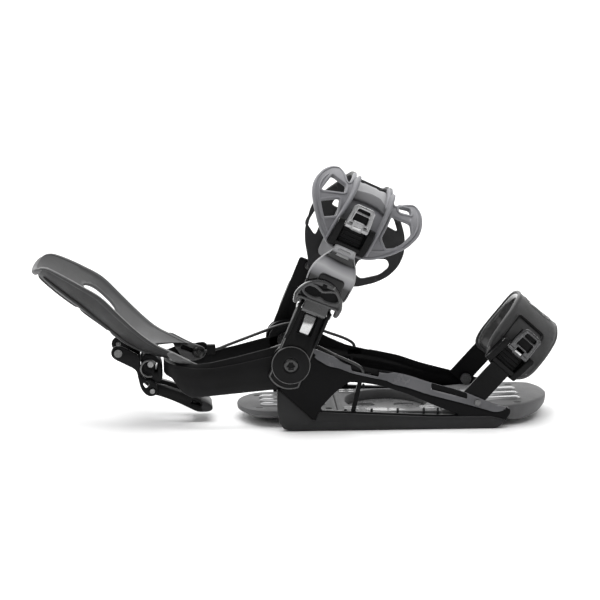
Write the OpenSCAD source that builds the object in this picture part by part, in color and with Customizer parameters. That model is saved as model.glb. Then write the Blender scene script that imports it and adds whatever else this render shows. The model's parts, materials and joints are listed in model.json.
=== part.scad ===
// Rear-entry snowboard binding: chassis with triangular rails, reclining heel loop and highback,
// ankle and toe straps with ratchets, and two steel cables from the heel loop to the rails.
// +X points to the toe, +Z up, -Y to the side that carries the ratchets.
// The origin is the centre of the mounting disc, on the underside.

/* [Chassis] */
// Distance between the inner faces of the two rails
rail_gap = 100; // [99:0.5:102]
// Thickness of each rail
rail_t = 6; // [5:0.5:6]
// Extra thickness of the skirt along the foot of each rail
skirt_t = 2; // [1:0.5:3]
// Thickness of the chassis floor
floor_t = 6; // [5:0.5:6]

/* [Mounting disc] */
// Bolt spacing of the board's insert pattern
insert_pitch = 40; // [40:1:40]
// Radius of the disc's bolt slots
slot_r = 3.25; // [3.1:0.05:3.5]
// End-to-end length of each bolt slot
slot_l = 14; // [10:1:16]
// Radius of the disc
disc_r = 45.5; // [44:0.5:46]

/* [Heel loop] */
// Outer radius of the loop's two rear corners
loop_corner_r = 38; // [34:1:42]
// Wall thickness of the loop
loop_t = 5; // [4:0.5:5]
// Radius of the pivot pins
pin_r = 5; // [4:0.5:6]

/* [Straps] */
// Width of the toothed ladders
ladder_w = 22; // [20:1:23]
// Outer radius of the ankle strap's arch
ankle_r = 54; // [52:1:54]
// Outer radius of the toe strap's arch
toe_r = 46; // [44:1:46]
// Lean of the ankle strap from vertical, in degrees
ankle_lean = 25; // [23:0.5:27]
// Lean of the toe strap from vertical, in degrees
toe_lean = 42; // [40:0.5:44]

/* [Cables] */
// Diameter of each steel cable
cable_d = 3.4; // [3:0.1:3.6]

/* [Hidden] */
$fn = 64;
FIT = 0.05;                 // radial clearance of a pin in its bore
GAP = 0.3;                  // gap between bodies
rail_in = rail_gap / 2;
rail_out = rail_in + rail_t;
arm_out = rail_in - GAP;
arm_in = arm_out - loop_t;
PIVOT = [-99.6, 68.5];      // strap and recline pivot, as x and z
LEAN = [-188, 58];          // highback's forward-lean pivot
LEVER = [-235.5, 33.6];     // lock lever's pivot
TOE = [86, 26];             // toe strap's pivot
eye_y = rail_out + GAP;     // inner face of the ankle brackets
bracket_t = 4.5;
bracket_out = eye_y + bracket_t;
ankle_h0 = 137;             // height of the ankle arch's centre above the pivot, along the lean
toe_h0 = 60;                // the same for the toe arch
bracket_lean = 22;
wall = 4;                   // thickness of the moulded straps
anchor_z = 51;              // floor of the cable slot in each rail
loop_top = 67.6;            // height that the heel loop's rear half stays under
hub_r = disc_r - 5;         // radius of the disc below its flange
flange_z = 3;               // height of the ledge that the disc's flange sits over
footbed_z = 16;             // top of the heel footbed

// Highback stations from the heel loop to the lip: spine x and z, wing x and z, half width
HB = [[-240, 72, -199, 68.5, 40.3], [-252, 75, -215, 77, 41], [-268, 84, -232, 86, 44],
      [-283, 97, -250, 101, 49], [-298, 108.5, -268, 119, 52], [-312, 119.5, -285, 136, 52],
      [-326, 130.5, -304, 147.5, 50], [-338, 141, -322, 157, 46], [-346, 149, -335, 162.5, 40],
      [-351.5, 155.5, -344, 163, 31]];
HB_COLS = 20;
HB_T = 4;
HB_FRONT = [0.64, 0.77];    // direction that the highback's front faces, as x and z

// Cable route on the +Y side, from the heel loop's guide to the rail's anchor
CABLE = [[-170, 41.5, 60.5], [-158, 41.5, 65], [-146, 41.5, 69.5], [-134, 41.5, 74], [-122, 41.5, 78.5],
         [-110, 41.7, 83], [-98, 42, 86.2], [-86, 42.8, 86.5], [-76, 44, 84], [-66, 46, 79.8],
         [-56, 48.6, 75], [-46, 51, 71], [-37, 52.6, 67], [-31, 53, 63.4], [-28.3, 53, 60], [-28, 53, 57]];
CABLE_SIDES = 8;

// ---------- helpers ----------

// Children twice, on the -Y side and mirrored to the +Y side
module both_sides() {
  children();
  mirror([0, 1, 0]) children();
}

// An outline drawn in x and z, extruded along Y from y0 to y1
module slab(y0, y1) {
  translate([0, y1, 0]) rotate([90, 0, 0]) linear_extrude(y1 - y0) children();
}

// A round bar along Y through the point at = [x, z]
module bar(at, r, y0, y1) {
  translate([at.x, y1, at.y]) rotate([90, 0, 0]) cylinder(r = r, h = y1 - y0);
}

// A round bar along the local X, at local y and z
module cross_bar(x0, x1, y, z, r) {
  translate([x0, y, z]) rotate([0, 90, 0]) cylinder(r = r, h = x1 - x0);
}

// An outline drawn in y and z, extruded along X from x0 to x1
module strip(x0, x1) {
  translate([x0, 0, 0]) rotate([90, 0, 90]) linear_extrude(x1 - x0) children();
}

// The frame of a strap: origin at its pivot, Z along the strap, X across it
module leaning(at, angle) {
  translate([at.x, 0, at.y]) rotate([0, angle, 0]) children();
}

module slot2d(l, r) {
  square([l - 2 * r, 2 * r], center = true);
  for (s = [-1, 1]) translate([s * (l / 2 - r), 0]) circle(r);
}

// Arch cross-section in y and z: half ring of outer radius r at height h0, with a leg on each side
module arch2d(r, t, h0, near_foot, far_foot) {
  difference() {
    union() {
      translate([0, h0]) circle(r);
      translate([-r, near_foot]) square([r, h0 - near_foot]);
      translate([0, far_foot]) square([r, h0 - far_foot]);
    }
    translate([0, h0]) circle(r - t);
    translate([-r + t, -400]) square([2 * (r - t), 400 + h0]);
    translate([-2 * r, -400]) square([2 * r, 400 + near_foot]);
    translate([0, -400]) square([2 * r, 400 + far_foot]);
  }
}

function unit(v) = v / norm(v);

// ---------- chassis ----------

module rail_outline() {
  polygon([[-100, 0], [-107, 3], [-111, 9], [-112.5, 20], [-113, 44], [-117, 60], [-99.6, 88],
           [-88, 87.5], [-73, 80], [-57, 70.5], [-41, 63], [-28, 59.3], [-14, 56], [15, 50],
           [40, 41.5], [76, 31.5], [104, 22.5], [119, 20.5], [119, 15], [114, 7], [110, 3], [105, 0]]);
  translate(PIVOT) circle(19.5);
}

module rail_window() {
  polygon([[-70, 25], [-56, 38], [-42, 49], [-27, 47.5], [-11, 44.5], [14, 36.5], [40, 25],
           [66, 13.5], [40, 14.5], [0, 16.5], [-40, 18.5], [-69, 20.5]]);
}

module skirt_outline() {
  polygon([[-100, 0], [-107, 3], [-111, 9], [-112, 20], [-69, 18.7], [40, 12.6], [100, 12],
           [114, 7], [110, 3], [105, 0]]);
}

module chassis() color("#0b0b0d") difference() {
  union() {
    both_sides() slab(-rail_out, -rail_in) difference() {
      rail_outline();
      rail_window();
    }
    both_sides() slab(-rail_out - skirt_t, -rail_out) skirt_outline();
    translate([-106, -rail_in, 0]) cube([216, rail_gap, floor_t]);
  }
  translate([0, 0, -1]) cylinder(r = hub_r + GAP, h = floor_t + 2, $fn = 96);
  translate([0, 0, flange_z]) cylinder(r = disc_r + GAP, h = floor_t, $fn = 96);
  bar(PIVOT, pin_r, -80, 80);
  bar(TOE, 3, -80, 80);
  both_sides() translate([-40, -rail_in - 5, anchor_z]) cube([28, 6, 30]);
  footbed_holes() cylinder(r = 2, h = 40, center = true);
}

module footbed_holes() {
  for (x = [-95, -60, 62, 98], y = [-30, 30]) translate([x, y, 0]) children();
}

module mounting_disc() color("#26262a") difference() {
  union() {
    cylinder(r = hub_r, h = flange_z + GAP + 1, $fn = 96);
    translate([0, 0, flange_z + GAP]) cylinder(r = disc_r, h = floor_t - flange_z - 2 * GAP, $fn = 96);
  }
  for (x = [-1, 1], y = [-1, 1]) translate([x, y, 0] * insert_pitch / 2) {
    translate([0, 0, -1]) linear_extrude(floor_t + 2) slot2d(slot_l, slot_r);
    translate([0, 0, 3.5]) linear_extrude(floor_t) slot2d(slot_l + 6.5, slot_r + 3);
  }
}

module heel_footbed() color("#5c5c60") difference() {
  intersection() {
    slab(-40, 40) polygon([[-150, 11], [-150.5, 14], [-148, footbed_z], [-52, footbed_z], [-52, floor_t],
                           [-112.9, floor_t], [-112.9, 0], [-126, 0], [-131, 2]]);
    union() {
      translate([-118, 0, -1]) cylinder(r = 38.5, h = 20, $fn = 96);
      translate([-140, -20, -1]) cube([30, 40, 20]);
      translate([-118, -38.5, -1]) cube([70, 77, 20]);
    }
  }
  footbed_holes() cylinder(r = 2, h = 40, center = true);
}

module middle_footbed() color("#5c5c60") difference() {
  translate([-51.5, -46, floor_t]) cube([103, 92, footbed_z - floor_t]);
  cylinder(r = disc_r - 3.5, h = 40, $fn = 96);
}

module toe_footbed() color("#5c5c60") difference() {
  intersection() {
    slab(-50, 50) polygon([[52, floor_t], [52, 17], [85, 19.5], [150, 20.5], [162, 18.5],
                           [164, 16], [160, 11], [150, 7], [128, 5], [119.6, 5], [119.6, floor_t]]);
    linear_extrude(40) polygon([[52, -46], [118, -46.5], [126, -44.5], [136, -40], [149, -26],
                                [159, -8], [164, 12], [163, 26], [159, 37], [150, 44.5], [138, 47.5],
                                [124, 48.5], [118, 46.5], [52, 46]]);
  }
  footbed_holes() cylinder(r = 2, h = 60, center = true);
}

module footbed_screws() color("#a8a8ac") footbed_holes() {
  translate([0, 0, 2]) cylinder(r = 2, h = 12);
}

// ---------- pivot stack ----------

module pivot_bolts() color("#77777c") both_sides() {
  bar(PIVOT, pin_r, -bracket_out - GAP, -arm_in + GAP);
  bar(PIVOT, 8, -arm_in + GAP, -arm_in + 3.5);
}

module pivot_washers() color("#9a9a9e") both_sides() difference() {
  bar(PIVOT, 11, -rail_out - 0.22, -rail_out);
  bar(PIVOT, pin_r, -80, 0);
}

module pivot_caps() color("#1a1a1c") both_sides() difference() {
  bar(PIVOT, 19, -bracket_out - GAP - 3.6, -bracket_out - GAP);
  bar(PIVOT, 7.3, -bracket_out - GAP - 9, -bracket_out - GAP - 1.6);
}

module cable_anchors() color("#8c8c90") both_sides() {
  translate([-36, -rail_in - 5, anchor_z]) cube([16, 5, 6]);
}

module toe_strap_bolts() color("#77777c") both_sides() {
  head_y = -arm_in + 2.6;
  bar(TOE, 3, -rail_out - 0.5, head_y);
  bar(TOE, 5.5, head_y, head_y + 2.8);
}

// ---------- cables ----------

// A tube of CABLE_SIDES sides swept along the points of path
module swept_tube(path, r, sides) {
  last = len(path) - 1;
  rings = [for (i = [0:last])
    let(t = unit(path[min(i + 1, last)] - path[max(i - 1, 0)]),
        u = unit(cross(t, [0, 1, 0])),
        v = cross(u, t))
    for (k = [0:sides - 1]) path[i] + r * (cos(k * 360 / sides) * u + sin(k * 360 / sides) * v)];
  walls = [for (i = [0:last - 1], k = [0:sides - 1])
    [i * sides + k, i * sides + (k + 1) % sides, (i + 1) * sides + (k + 1) % sides, (i + 1) * sides + k]];
  ends = [[for (k = [sides - 1:-1:0]) k], [for (k = [0:sides - 1]) last * sides + k]];
  polyhedron(rings, concat(walls, ends));
}

module cable() color("#3a3a3d") swept_tube(CABLE, cable_d / 2, CABLE_SIDES);

module cable_far() cable();

module cable_near() mirror([0, 1, 0]) cable();

// ---------- heel loop ----------

module loop_plan(inset) {
  r = loop_corner_r - inset;
  half = arm_out - inset;
  for (s = [-1, 1]) translate([-186, s * (half - r)]) circle(r, $fn = 96);
  translate([-186 - r, -(half - r)]) square([r, 2 * (half - r)]);
  translate([-186, -half]) square([120, 2 * half]);
}

module heel_loop() color("#1e1e20") difference() {
  union() {
    intersection() {
      linear_extrude(120) difference() {
        loop_plan(0);
        loop_plan(loop_t);
      }
      slab(-60, 60) polygon([[-226, 51], [-226, 66], [-205, 66.5], [-192, 66.7], [-178, 68.3], [-152, 74],
                             [-125, 81], [-108, 84.8], [-99, 82], [-97, 60], [-106, 44], [-110, 41],
                             [-197, 33], [-206, 37], [-212, 44], [-217, 50]]);
    }
    both_sides() bar(PIVOT, 17, -arm_out, -arm_in);
  }
  bar(PIVOT, pin_r + FIT, -80, 80);
  bar(LEAN, 4, -80, 80);
}

module heel_cushion() color("#3a3a3c") intersection() {
  translate([0, 0, 53]) linear_extrude(11) difference() {
    loop_plan(loop_t);
    loop_plan(loop_t + 3);
  }
  translate([-240, -26, 0]) cube([40, 52, 100]);
}

module cable_guides() color("#2b2b2d") both_sides() {
  translate([-179.5, -arm_in, 55.5]) cube([8.7, 5, 10]);
}

module lean_bolts() color("#77777c") both_sides() {
  bar(LEAN, 4, -arm_out, -arm_in + 4.6);
  bar(LEAN, 6.5, -arm_in + 4.6, -arm_in + 6.6);
}

// ---------- highback ----------

// A point of the highback's back face: station i, across v from -1 to 1
function back_point(i, v) =
  let(s = HB[i], f = pow(abs(v), 2.4))
  [s[0] + (s[2] - s[0]) * f, v * s[4], s[1] + (s[3] - s[1]) * f];

// The direction through the shell's thickness at v, turning inwards towards the wings
function through(v) =
  unit([HB_FRONT.x * (1 - v * v * 0.8), -v * 0.9, HB_FRONT.y * (1 - v * v * 0.8)]);

function shell_point(i, v, depth) = back_point(i, v) + depth * through(v);

// A closed shell over stations i0 to i1 and across half of the width on each side of the spine
module shell(i0, i1, half, d0, d1) {
  rows = i1 - i0 + 1;
  cols = HB_COLS + 1;
  count = rows * cols;
  points = [for (d = [d0, d1], i = [i0:i1], j = [0:HB_COLS]) shell_point(i, half * (2 * j / HB_COLS - 1), d)];
  back = [for (i = [0:rows - 2], j = [0:HB_COLS - 1])
    [i * cols + j, i * cols + j + 1, (i + 1) * cols + j + 1, (i + 1) * cols + j]];
  front = [for (f = back) [for (k = [3:-1:0]) f[k] + count]];
  rim = concat([for (j = [0:HB_COLS - 1]) j],
               [for (i = [0:rows - 2]) i * cols + HB_COLS],
               [for (j = [HB_COLS:-1:1]) (rows - 1) * cols + j],
               [for (i = [rows - 1:-1:1]) i * cols]);
  n = len(rim);
  edge = [for (k = [0:n - 1]) [rim[k], rim[k] + count, rim[(k + 1) % n] + count, rim[(k + 1) % n]]];
  polyhedron(points, concat(back, front, edge), convexity = 6);
}

module highback() color("#4c4c4e") shell(0, 9, 1, 0, HB_T);

module highback_pad() color("#6a6a6d") shell(5, 8, 0.5, HB_T + 0.1, HB_T + 4.1);

// Each hinge plate follows the loop's inner wall and stands above the loop's top edge behind it
module highback_hinges() color("#3c3c3e") both_sides() difference() {
  intersection() {
    slab(-arm_in + GAP, -arm_in + 3.6) {
      polygon([[-196, 52], [-181, 54], [-184, 64], [-203, 79], [-216, 84], [-212, 74], [-199, 66]]);
      translate(LEAN) circle(8);
    }
    union() {
      linear_extrude(loop_top) loop_plan(loop_t + GAP);
      translate([-260, -60, loop_top]) cube([200, 120, 60]);
    }
  }
  bar(LEAN, 4 + FIT, -80, 80);
}

module lean_block() color("#161618") difference() {
  slab(-17, 17) polygon([[-226.5, 48], [-226.5, 57], [-229, 66], [-233, 70.5], [-241, 71.2], [-247, 66], [-246, 50],
                         [-236, 46]]);
  bar([-237, 60], 3, -80, 80);
}

module lean_block_screw() color("#8c8c90") bar([-237, 60], 3, -18, 18);

// ---------- lock lever ----------

module lever_cradle() color("#0f0f10") difference() {
  both_sides() slab(-21, -17.4) {
    polygon([[-240, 29], [-247, 34], [-251, 55], [-274, 67], [-277, 74], [-270, 79.5], [-262, 77], [-248, 70],
             [-247.6, 50], [-237.4, 45.4], [-231, 38], [-231, 31]]);
    translate([-269, 73]) circle(6.5);
    translate(LEVER) circle(6);
  }
  bar(LEVER, 2.5, -80, 80);
  bar([-269, 73], 2.5, -80, 80);
}

module cradle_screws() color("#8c8c90") both_sides() {
  bar([-269, 73], 2.5, -22.5, -16.4);
  bar([-269, 73], 4, -23.5, -22.5);
}

module lever_pin() color("#b0b0b4") bar(LEVER, 2.5, -22.5, 22.5);

module lock_lever() color("#111113") difference() {
  slab(-17.1, 17.1) {
    translate(LEVER) circle(6);
    polygon([[-235.5, 38.4], [-222, 37], [-206, 31], [-190, 24.5], [-178, 18], [-175, 13], [-178, 10],
             [-190, 10], [-200, 15], [-214, 22], [-235.5, 28.8]]);
  }
  bar(LEVER, 2.5 + FIT, -80, 80);
  slab(-9, 9) polygon([[-226, 50], [-196, 50], [-196, 0], [-226, 0]]);
}

// ---------- ankle strap ----------

module bracket_outline() {
  circle(22);
  translate([-16.5, 0]) square([33, 84]);
}

module ankle_bracket(windowed) {
  leaning(PIVOT, bracket_lean) difference() {
    union() {
      slab(-bracket_out, -eye_y) difference() {
        bracket_outline();
        if (windowed) translate([-9, 32]) square([18, 24]);
      }
      for (s = [-1, 1]) translate([s * 15 - 1.5, 0, 0]) {
        translate([0, -66, 28]) cube([3, 66 - bracket_out, 26]);
        if (windowed) cross_bar(0, 3, -65.5, 59.7, 4.6);
        if (windowed) translate([0, -70, 50]) cube([3, 9.2, 9.7]);
      }
    }
    bar([0, 0], pin_r + FIT, -80, 0);
    if (windowed) cross_bar(-30, 30, -65.5, 59.7, 2.2);
  }
}

module ankle_bracket_near() color("#101012") ankle_bracket(true);

module ankle_bracket_far() color("#101012") difference() {
  mirror([0, 1, 0]) ankle_bracket(false);
  far_screw_places() bar([0, 0], 2.5, 0, 90);
}

module quick_lever_pin() color("#b8b8bc") leaning(PIVOT, bracket_lean) cross_bar(-18, 18, -65.5, 59.7, 2.2);

module quick_lever_spring() color("#c8c8cc") leaning(PIVOT, bracket_lean)
  translate([-9, -59.5, 32]) cube([18, 1.2, 24]);

module quick_lever() color("#3e3e41") leaning(PIVOT, bracket_lean) difference() {
  union() {
    cross_bar(-12.8, 12.8, -65.5, 59.7, 4.4);
    translate([-12.8, -72, 59.7]) cube([25.6, 5, 12]);
    intersection() {
      slab(-72, -67) translate([0, 67]) circle(25);
      translate([-30, -80, 67]) cube([60, 20, 40]);
    }
  }
  cross_bar(-30, 30, -65.5, 59.7, 2.2 + FIT);
  slab(-73, -70.5) intersection() {
    translate([0, 68]) circle(17);
    translate([-30, 74]) square([60, 30]);
  }
}

module ankle_ladder() color("#141416") leaning(PIVOT, ankle_lean) {
  strip(-ladder_w / 2, ladder_w / 2) polygon(concat(
    [[-60.9, 66], [-60.9, 86], [-56.3, 124], [-56.3, 165], [-58.4, 165]],
    [for (h = [160:-4:128]) each [[-58.4, h + 3], [-57.6, h + 2.4], [-57.6, h]]],
    [[-58.6, 124], [-63.2, 86], [-63.2, 66]]));
}

module ladder_shield() color("#08080a") leaning(PIVOT, ankle_lean) intersection() {
  strip(-30, 30) polygon([[-65.8, 76], [-65.8, 88], [-61.2, 124], [-61.2, 129], [-58.6, 129], [-58.6, 124],
                          [-63.2, 86], [-63.2, 76]]);
  slab(-80, -50) polygon([[-23, 76], [-25, 92], [-24, 102], [-17, 115], [-12, 122], [-11, 129],
                          [11, 129], [12, 122], [18, 113], [23, 102], [23, 92], [21, 76]]);
}

module far_screw_places() {
  leaning(PIVOT, ankle_lean) for (e = [-9, 6]) translate([e, 0, 78]) children();
}

module far_strap_screws() color("#8c8c90") far_screw_places() {
  bar([0, 0], 2.5, ankle_r - wall, bracket_out);
  bar([0, 0], 4, ankle_r, eye_y);
  bar([0, 0], 4, bracket_out, bracket_out + 1.2);
}

// Side outline of the ankle strap's near half: two wings joined by a cross bar
module ankle_near_outline() {
  polygon([[-17, 122], [-33, 135], [-47, 154], [-53, 165], [-54.5, 175], [-50, 184], [-40, 190.5], [-33, 192],
           [-22, 185], [-14, 180], [24, 180], [36, 186], [48, 190], [56, 188], [61, 183], [64, 177], [63, 166],
           [56, 151], [43, 137], [29, 126], [17, 122]]);
}

module ankle_far_outline() {
  polygon([[-54, 175], [-50, 184], [-40, 192], [48, 192], [61, 183], [70, 166], [74, 130], [74, 115],
           [69, 102], [60, 91], [43, 78], [14, 72], [-10, 74], [-11, 83], [-24, 100], [-30, 113], [-34, 135],
           [-48, 155]]);
}

module ankle_openings_near() {
  polygon([[-45, 166], [-38, 181], [-25, 185], [-22, 180], [-35, 169]]);
  polygon([[-41, 157], [-33, 164], [-24, 164], [-23, 153], [-33, 149]]);
  polygon([[27, 149], [29, 172], [46, 180], [52, 174], [48, 153], [33, 141]]);
}

module ankle_openings_far() {
  polygon([[-30, 118], [-28, 136], [-18, 132], [-17, 110]]);
  polygon([[34, 92], [34, 106], [60, 118], [66, 112], [60, 100], [44, 88]]);
}

module ankle_strap() color("#75757b") difference() {
  leaning(PIVOT, ankle_lean) difference() {
    intersection() {
      strip(-90, 90) arch2d(ankle_r, wall, ankle_h0, 122, 70);
      union() {
        slab(-90, 0) ankle_near_outline();
        slab(0, 90) ankle_far_outline();
      }
    }
    slab(-90, -5) ankle_openings_near();
    slab(5, 90) ankle_openings_far();
  }
  far_screw_places() bar([0, 0], 2.5, 0, 90);
}

module ankle_pad() color("#2b2b2e") leaning(PIVOT, ankle_lean) intersection() {
  strip(-14, 26) arch2d(ankle_r - wall - 0.2, 4, ankle_h0, 132, 90);
  slab(-90, 90) translate([6, 140]) circle(60);
}

// ---------- ratchets ----------

// Base of a ratchet: floor and two walls, between heights h0 and h1; y is the floor's inner face
module ratchet_base(y, h0, h1, pin_y, pin_h) {
  difference() {
    union() {
      translate([-20, -y - 1.4, h0]) cube([40, 1.4, h1 - h0]);
      for (s = [-1, 1]) translate([s * 16 - 3.2, 0, 0]) strip(0, 6.4)
        polygon([[-y - 1.4, h0], [-y - 5.5, h0 + 1.5], [-y - 9, h0 + 9], [-pin_y - 3.2, pin_h - 3],
                 [-pin_y - 3, pin_h + 2.5], [-pin_y, pin_h + 4], [-y - 1.4, h1]]);
    }
    cross_bar(-30, 30, -pin_y, pin_h, 2);
  }
}

module ratchet_pin(pin_y, pin_h) {
  cross_bar(-19.2, 19.2, -pin_y, pin_h, 2);
}

module ratchet_spring(pin_y, pin_h) {
  difference() {
    cross_bar(-4, 4, -pin_y, pin_h, 3.3);
    cross_bar(-5, 5, -pin_y, pin_h, 2);
  }
}

// Lever of a ratchet: two knuckles on the pin and a frame with two windows
module ratchet_lever(pin_y, pin_h, reach) {
  difference() {
    union() {
      for (s = [-1, 1]) cross_bar(s * 8.4 - 3.9, s * 8.4 + 3.9, -pin_y, pin_h, 3.5);
      slab(-pin_y - 3.5, -pin_y - 1) polygon([[-12.3, pin_h - 2.5], [-12.3, pin_h + 8], [-9.5, pin_h + reach],
        [9.5, pin_h + reach], [12.3, pin_h + 8], [12.3, pin_h - 2.5]]);
      for (s = [-1, 1]) translate([s * 10.8 - 1.5, -pin_y - 2, pin_h + 2]) cube([3, 4.5, reach - 7]);
    }
    cross_bar(-30, 30, -pin_y, pin_h, 2 + FIT);
    slab(-pin_y - 9, -pin_y + 9) {
      translate([-4.4, pin_h - 5]) square([8.8, 10]);
      for (s = [-1, 1]) translate([s * 4.6 - 3, pin_h + 6.5]) square([6, reach - 11]);
    }
  }
}

ANKLE_PIN = [63, 151];      // distance from the middle plane and height of the ankle ratchet's pin
TOE_PIN = [55, 64];         // the same for the toe ratchet

module ankle_ratchet_frame() leaning(PIVOT, ankle_lean) children();
module toe_ratchet_frame() leaning(TOE, toe_lean) translate([-5, 0, 0]) children();

module ankle_ratchet_base() color("#0c0c0e") ankle_ratchet_frame()
  ratchet_base(ankle_r, 124, 152, ANKLE_PIN.x, ANKLE_PIN.y);
module ankle_ratchet_pin() color("#c8c8cc") ankle_ratchet_frame()
  ratchet_pin(ANKLE_PIN.x, ANKLE_PIN.y);
module ankle_ratchet_spring() color("#9a9a9e") ankle_ratchet_frame()
  ratchet_spring(ANKLE_PIN.x, ANKLE_PIN.y);
module ankle_ratchet_lever() color("#8d8d92") ankle_ratchet_frame()
  ratchet_lever(ANKLE_PIN.x, ANKLE_PIN.y, 22);
module toe_ratchet_base() color("#0c0c0e") toe_ratchet_frame()
  ratchet_base(toe_r, 38, 65, TOE_PIN.x, TOE_PIN.y);
module toe_ratchet_pin() color("#c8c8cc") toe_ratchet_frame()
  ratchet_pin(TOE_PIN.x, TOE_PIN.y);
module toe_ratchet_spring() color("#9a9a9e") toe_ratchet_frame()
  ratchet_spring(TOE_PIN.x, TOE_PIN.y);
module toe_ratchet_lever() color("#8d8d92") toe_ratchet_frame()
  ratchet_lever(TOE_PIN.x, TOE_PIN.y, 24);

// ---------- toe strap ----------

module toe_ladder() color("#141416") toe_ratchet_frame() difference() {
  strip(-ladder_w / 2, ladder_w / 2) polygon(concat(
    [[-47.2, -6], [-47.2, 28], [-48.3, 40], [-48.3, 84], [-50.4, 84]],
    [for (h = [78:-4:46]) each [[-50.4, h + 3], [-49.6, h + 2.4], [-49.6, h]]],
    [[-50.7, 40], [-49.6, 28], [-49.6, -6]]));
  bar([5, 0], 3 + FIT, -90, 90);
}

module toe_far_band() color("#141416") leaning(TOE, toe_lean) difference() {
  strip(-16, 6) polygon([[toe_r + 0.2, 46], [toe_r + 2.6, 46], [49.6, 30], [49.6, -6], [47.2, -6], [47.2, 30]]);
  bar([0, 0], 3 + FIT, -90, 90);
  toe_screw_places() bar([0, 0], 2, 0, 90);
}

module toe_screw_places() {
  for (e = [-11, 1]) translate([e, 0, 41]) children();
}

module toe_band_screws() color("#8c8c90") leaning(TOE, toe_lean) toe_screw_places() {
  head_y = toe_r + 3.4;
  bar([0, 0], 2, toe_r - 2.5, head_y);
  bar([0, 0], 3.6, head_y, head_y + 1.4);
}

module toe_near_outline() {
  polygon([[-18, 36], [-28, 45], [-33, 57], [-35, 77], [-34.5, 100], [-31, 106], [-18, 106], [20, 106], [24, 98],
           [24.5, 54], [20.5, 45], [11, 37.5]]);
}

module toe_far_outline() {
  polygon([[-20, 36], [-23, 47], [-25, 75], [-31, 101], [-30, 106], [20, 106], [22, 98], [20, 60], [16, 42],
           [8, 34], [-14, 31]]);
}

module toe_shape(r, t, shrink) {
  intersection() {
    strip(-60, 60) arch2d(r, t, toe_h0, 36 + shrink, 34 + shrink);
    union() {
      slab(-90, 0) toe_near_outline();
      slab(0, 90) toe_far_outline();
    }
  }
}

module toe_strap() color("#1c1c1e") leaning(TOE, toe_lean) difference() {
  toe_shape(toe_r, 2.5, 0);
  toe_screw_places() bar([0, 0], 2, 0, 90);
}

module toe_strap_pad() color("#4b4b4d") leaning(TOE, toe_lean) toe_shape(toe_r - 2.6, 5, 3);

chassis();
mounting_disc();
heel_footbed();
middle_footbed();
toe_footbed();
footbed_screws();
pivot_bolts();
pivot_washers();
pivot_caps();
cable_anchors();
toe_strap_bolts();
cable_near();
cable_far();
heel_loop();
heel_cushion();
cable_guides();
lean_bolts();
highback();
highback_pad();
highback_hinges();
lean_block();
lean_block_screw();
lever_cradle();
cradle_screws();
lever_pin();
lock_lever();
ankle_bracket_near();
ankle_bracket_far();
quick_lever_pin();
quick_lever_spring();
quick_lever();
ankle_ladder();
ladder_shield();
far_strap_screws();
ankle_strap();
ankle_pad();
ankle_ratchet_base();
ankle_ratchet_pin();
ankle_ratchet_spring();
ankle_ratchet_lever();
toe_ladder();
toe_far_band();
toe_band_screws();
toe_strap();
toe_strap_pad();
toe_ratchet_base();
toe_ratchet_pin();
toe_ratchet_spring();
toe_ratchet_lever();
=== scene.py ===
"""Looks of a rear-entry snowboard binding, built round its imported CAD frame.

Lengths are in metres in the frame's own axes: +X to the toe, +Y away from the ratchets, +Z up.
Outlines are written in millimetres and scaled by MM.
"""
import json
import math

import bmesh
import bpy
from mathutils import Matrix, Vector


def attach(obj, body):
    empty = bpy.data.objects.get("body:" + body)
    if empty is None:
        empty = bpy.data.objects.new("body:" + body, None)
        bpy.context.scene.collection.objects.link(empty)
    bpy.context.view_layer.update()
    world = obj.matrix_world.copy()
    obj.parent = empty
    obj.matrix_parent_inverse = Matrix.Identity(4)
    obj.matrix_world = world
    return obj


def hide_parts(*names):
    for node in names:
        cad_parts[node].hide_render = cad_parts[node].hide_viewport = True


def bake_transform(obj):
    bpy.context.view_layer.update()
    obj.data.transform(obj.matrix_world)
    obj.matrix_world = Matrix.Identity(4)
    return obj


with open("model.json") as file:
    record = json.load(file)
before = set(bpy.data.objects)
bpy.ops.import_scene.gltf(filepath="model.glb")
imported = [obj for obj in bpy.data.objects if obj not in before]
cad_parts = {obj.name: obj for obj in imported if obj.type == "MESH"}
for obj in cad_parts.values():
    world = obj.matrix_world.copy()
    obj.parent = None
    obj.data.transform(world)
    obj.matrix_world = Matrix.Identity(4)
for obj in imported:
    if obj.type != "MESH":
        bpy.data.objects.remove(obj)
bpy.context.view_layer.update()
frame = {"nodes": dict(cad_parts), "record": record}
MM = 0.001

# ---------- camera, floor and lights ----------

scene = bpy.context.scene

CAMERA_AIM = Vector((-0.087, 0.0, 0.120))
CAMERA_DISTANCE = 2.6
CAMERA_AZIMUTH = math.radians(-3.4)
CAMERA_ELEVATION = math.radians(12.6)
VIEW_WIDTH = 0.600          # metres across the picture at the aim point
SENSOR = 36.0


def make_camera():
    back = Vector((math.sin(CAMERA_AZIMUTH) * math.cos(CAMERA_ELEVATION),
                   -math.cos(CAMERA_AZIMUTH) * math.cos(CAMERA_ELEVATION),
                   math.sin(CAMERA_ELEVATION)))
    data = bpy.data.cameras.new("camera")
    data.sensor_width = SENSOR
    data.lens = SENSOR * CAMERA_DISTANCE / VIEW_WIDTH
    data.clip_end = 20
    camera = bpy.data.objects.new("camera", data)
    scene.collection.objects.link(camera)
    camera.location = CAMERA_AIM + back * CAMERA_DISTANCE
    camera.rotation_euler = back.to_track_quat("Z", "Y").to_euler()
    scene.camera = camera


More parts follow.
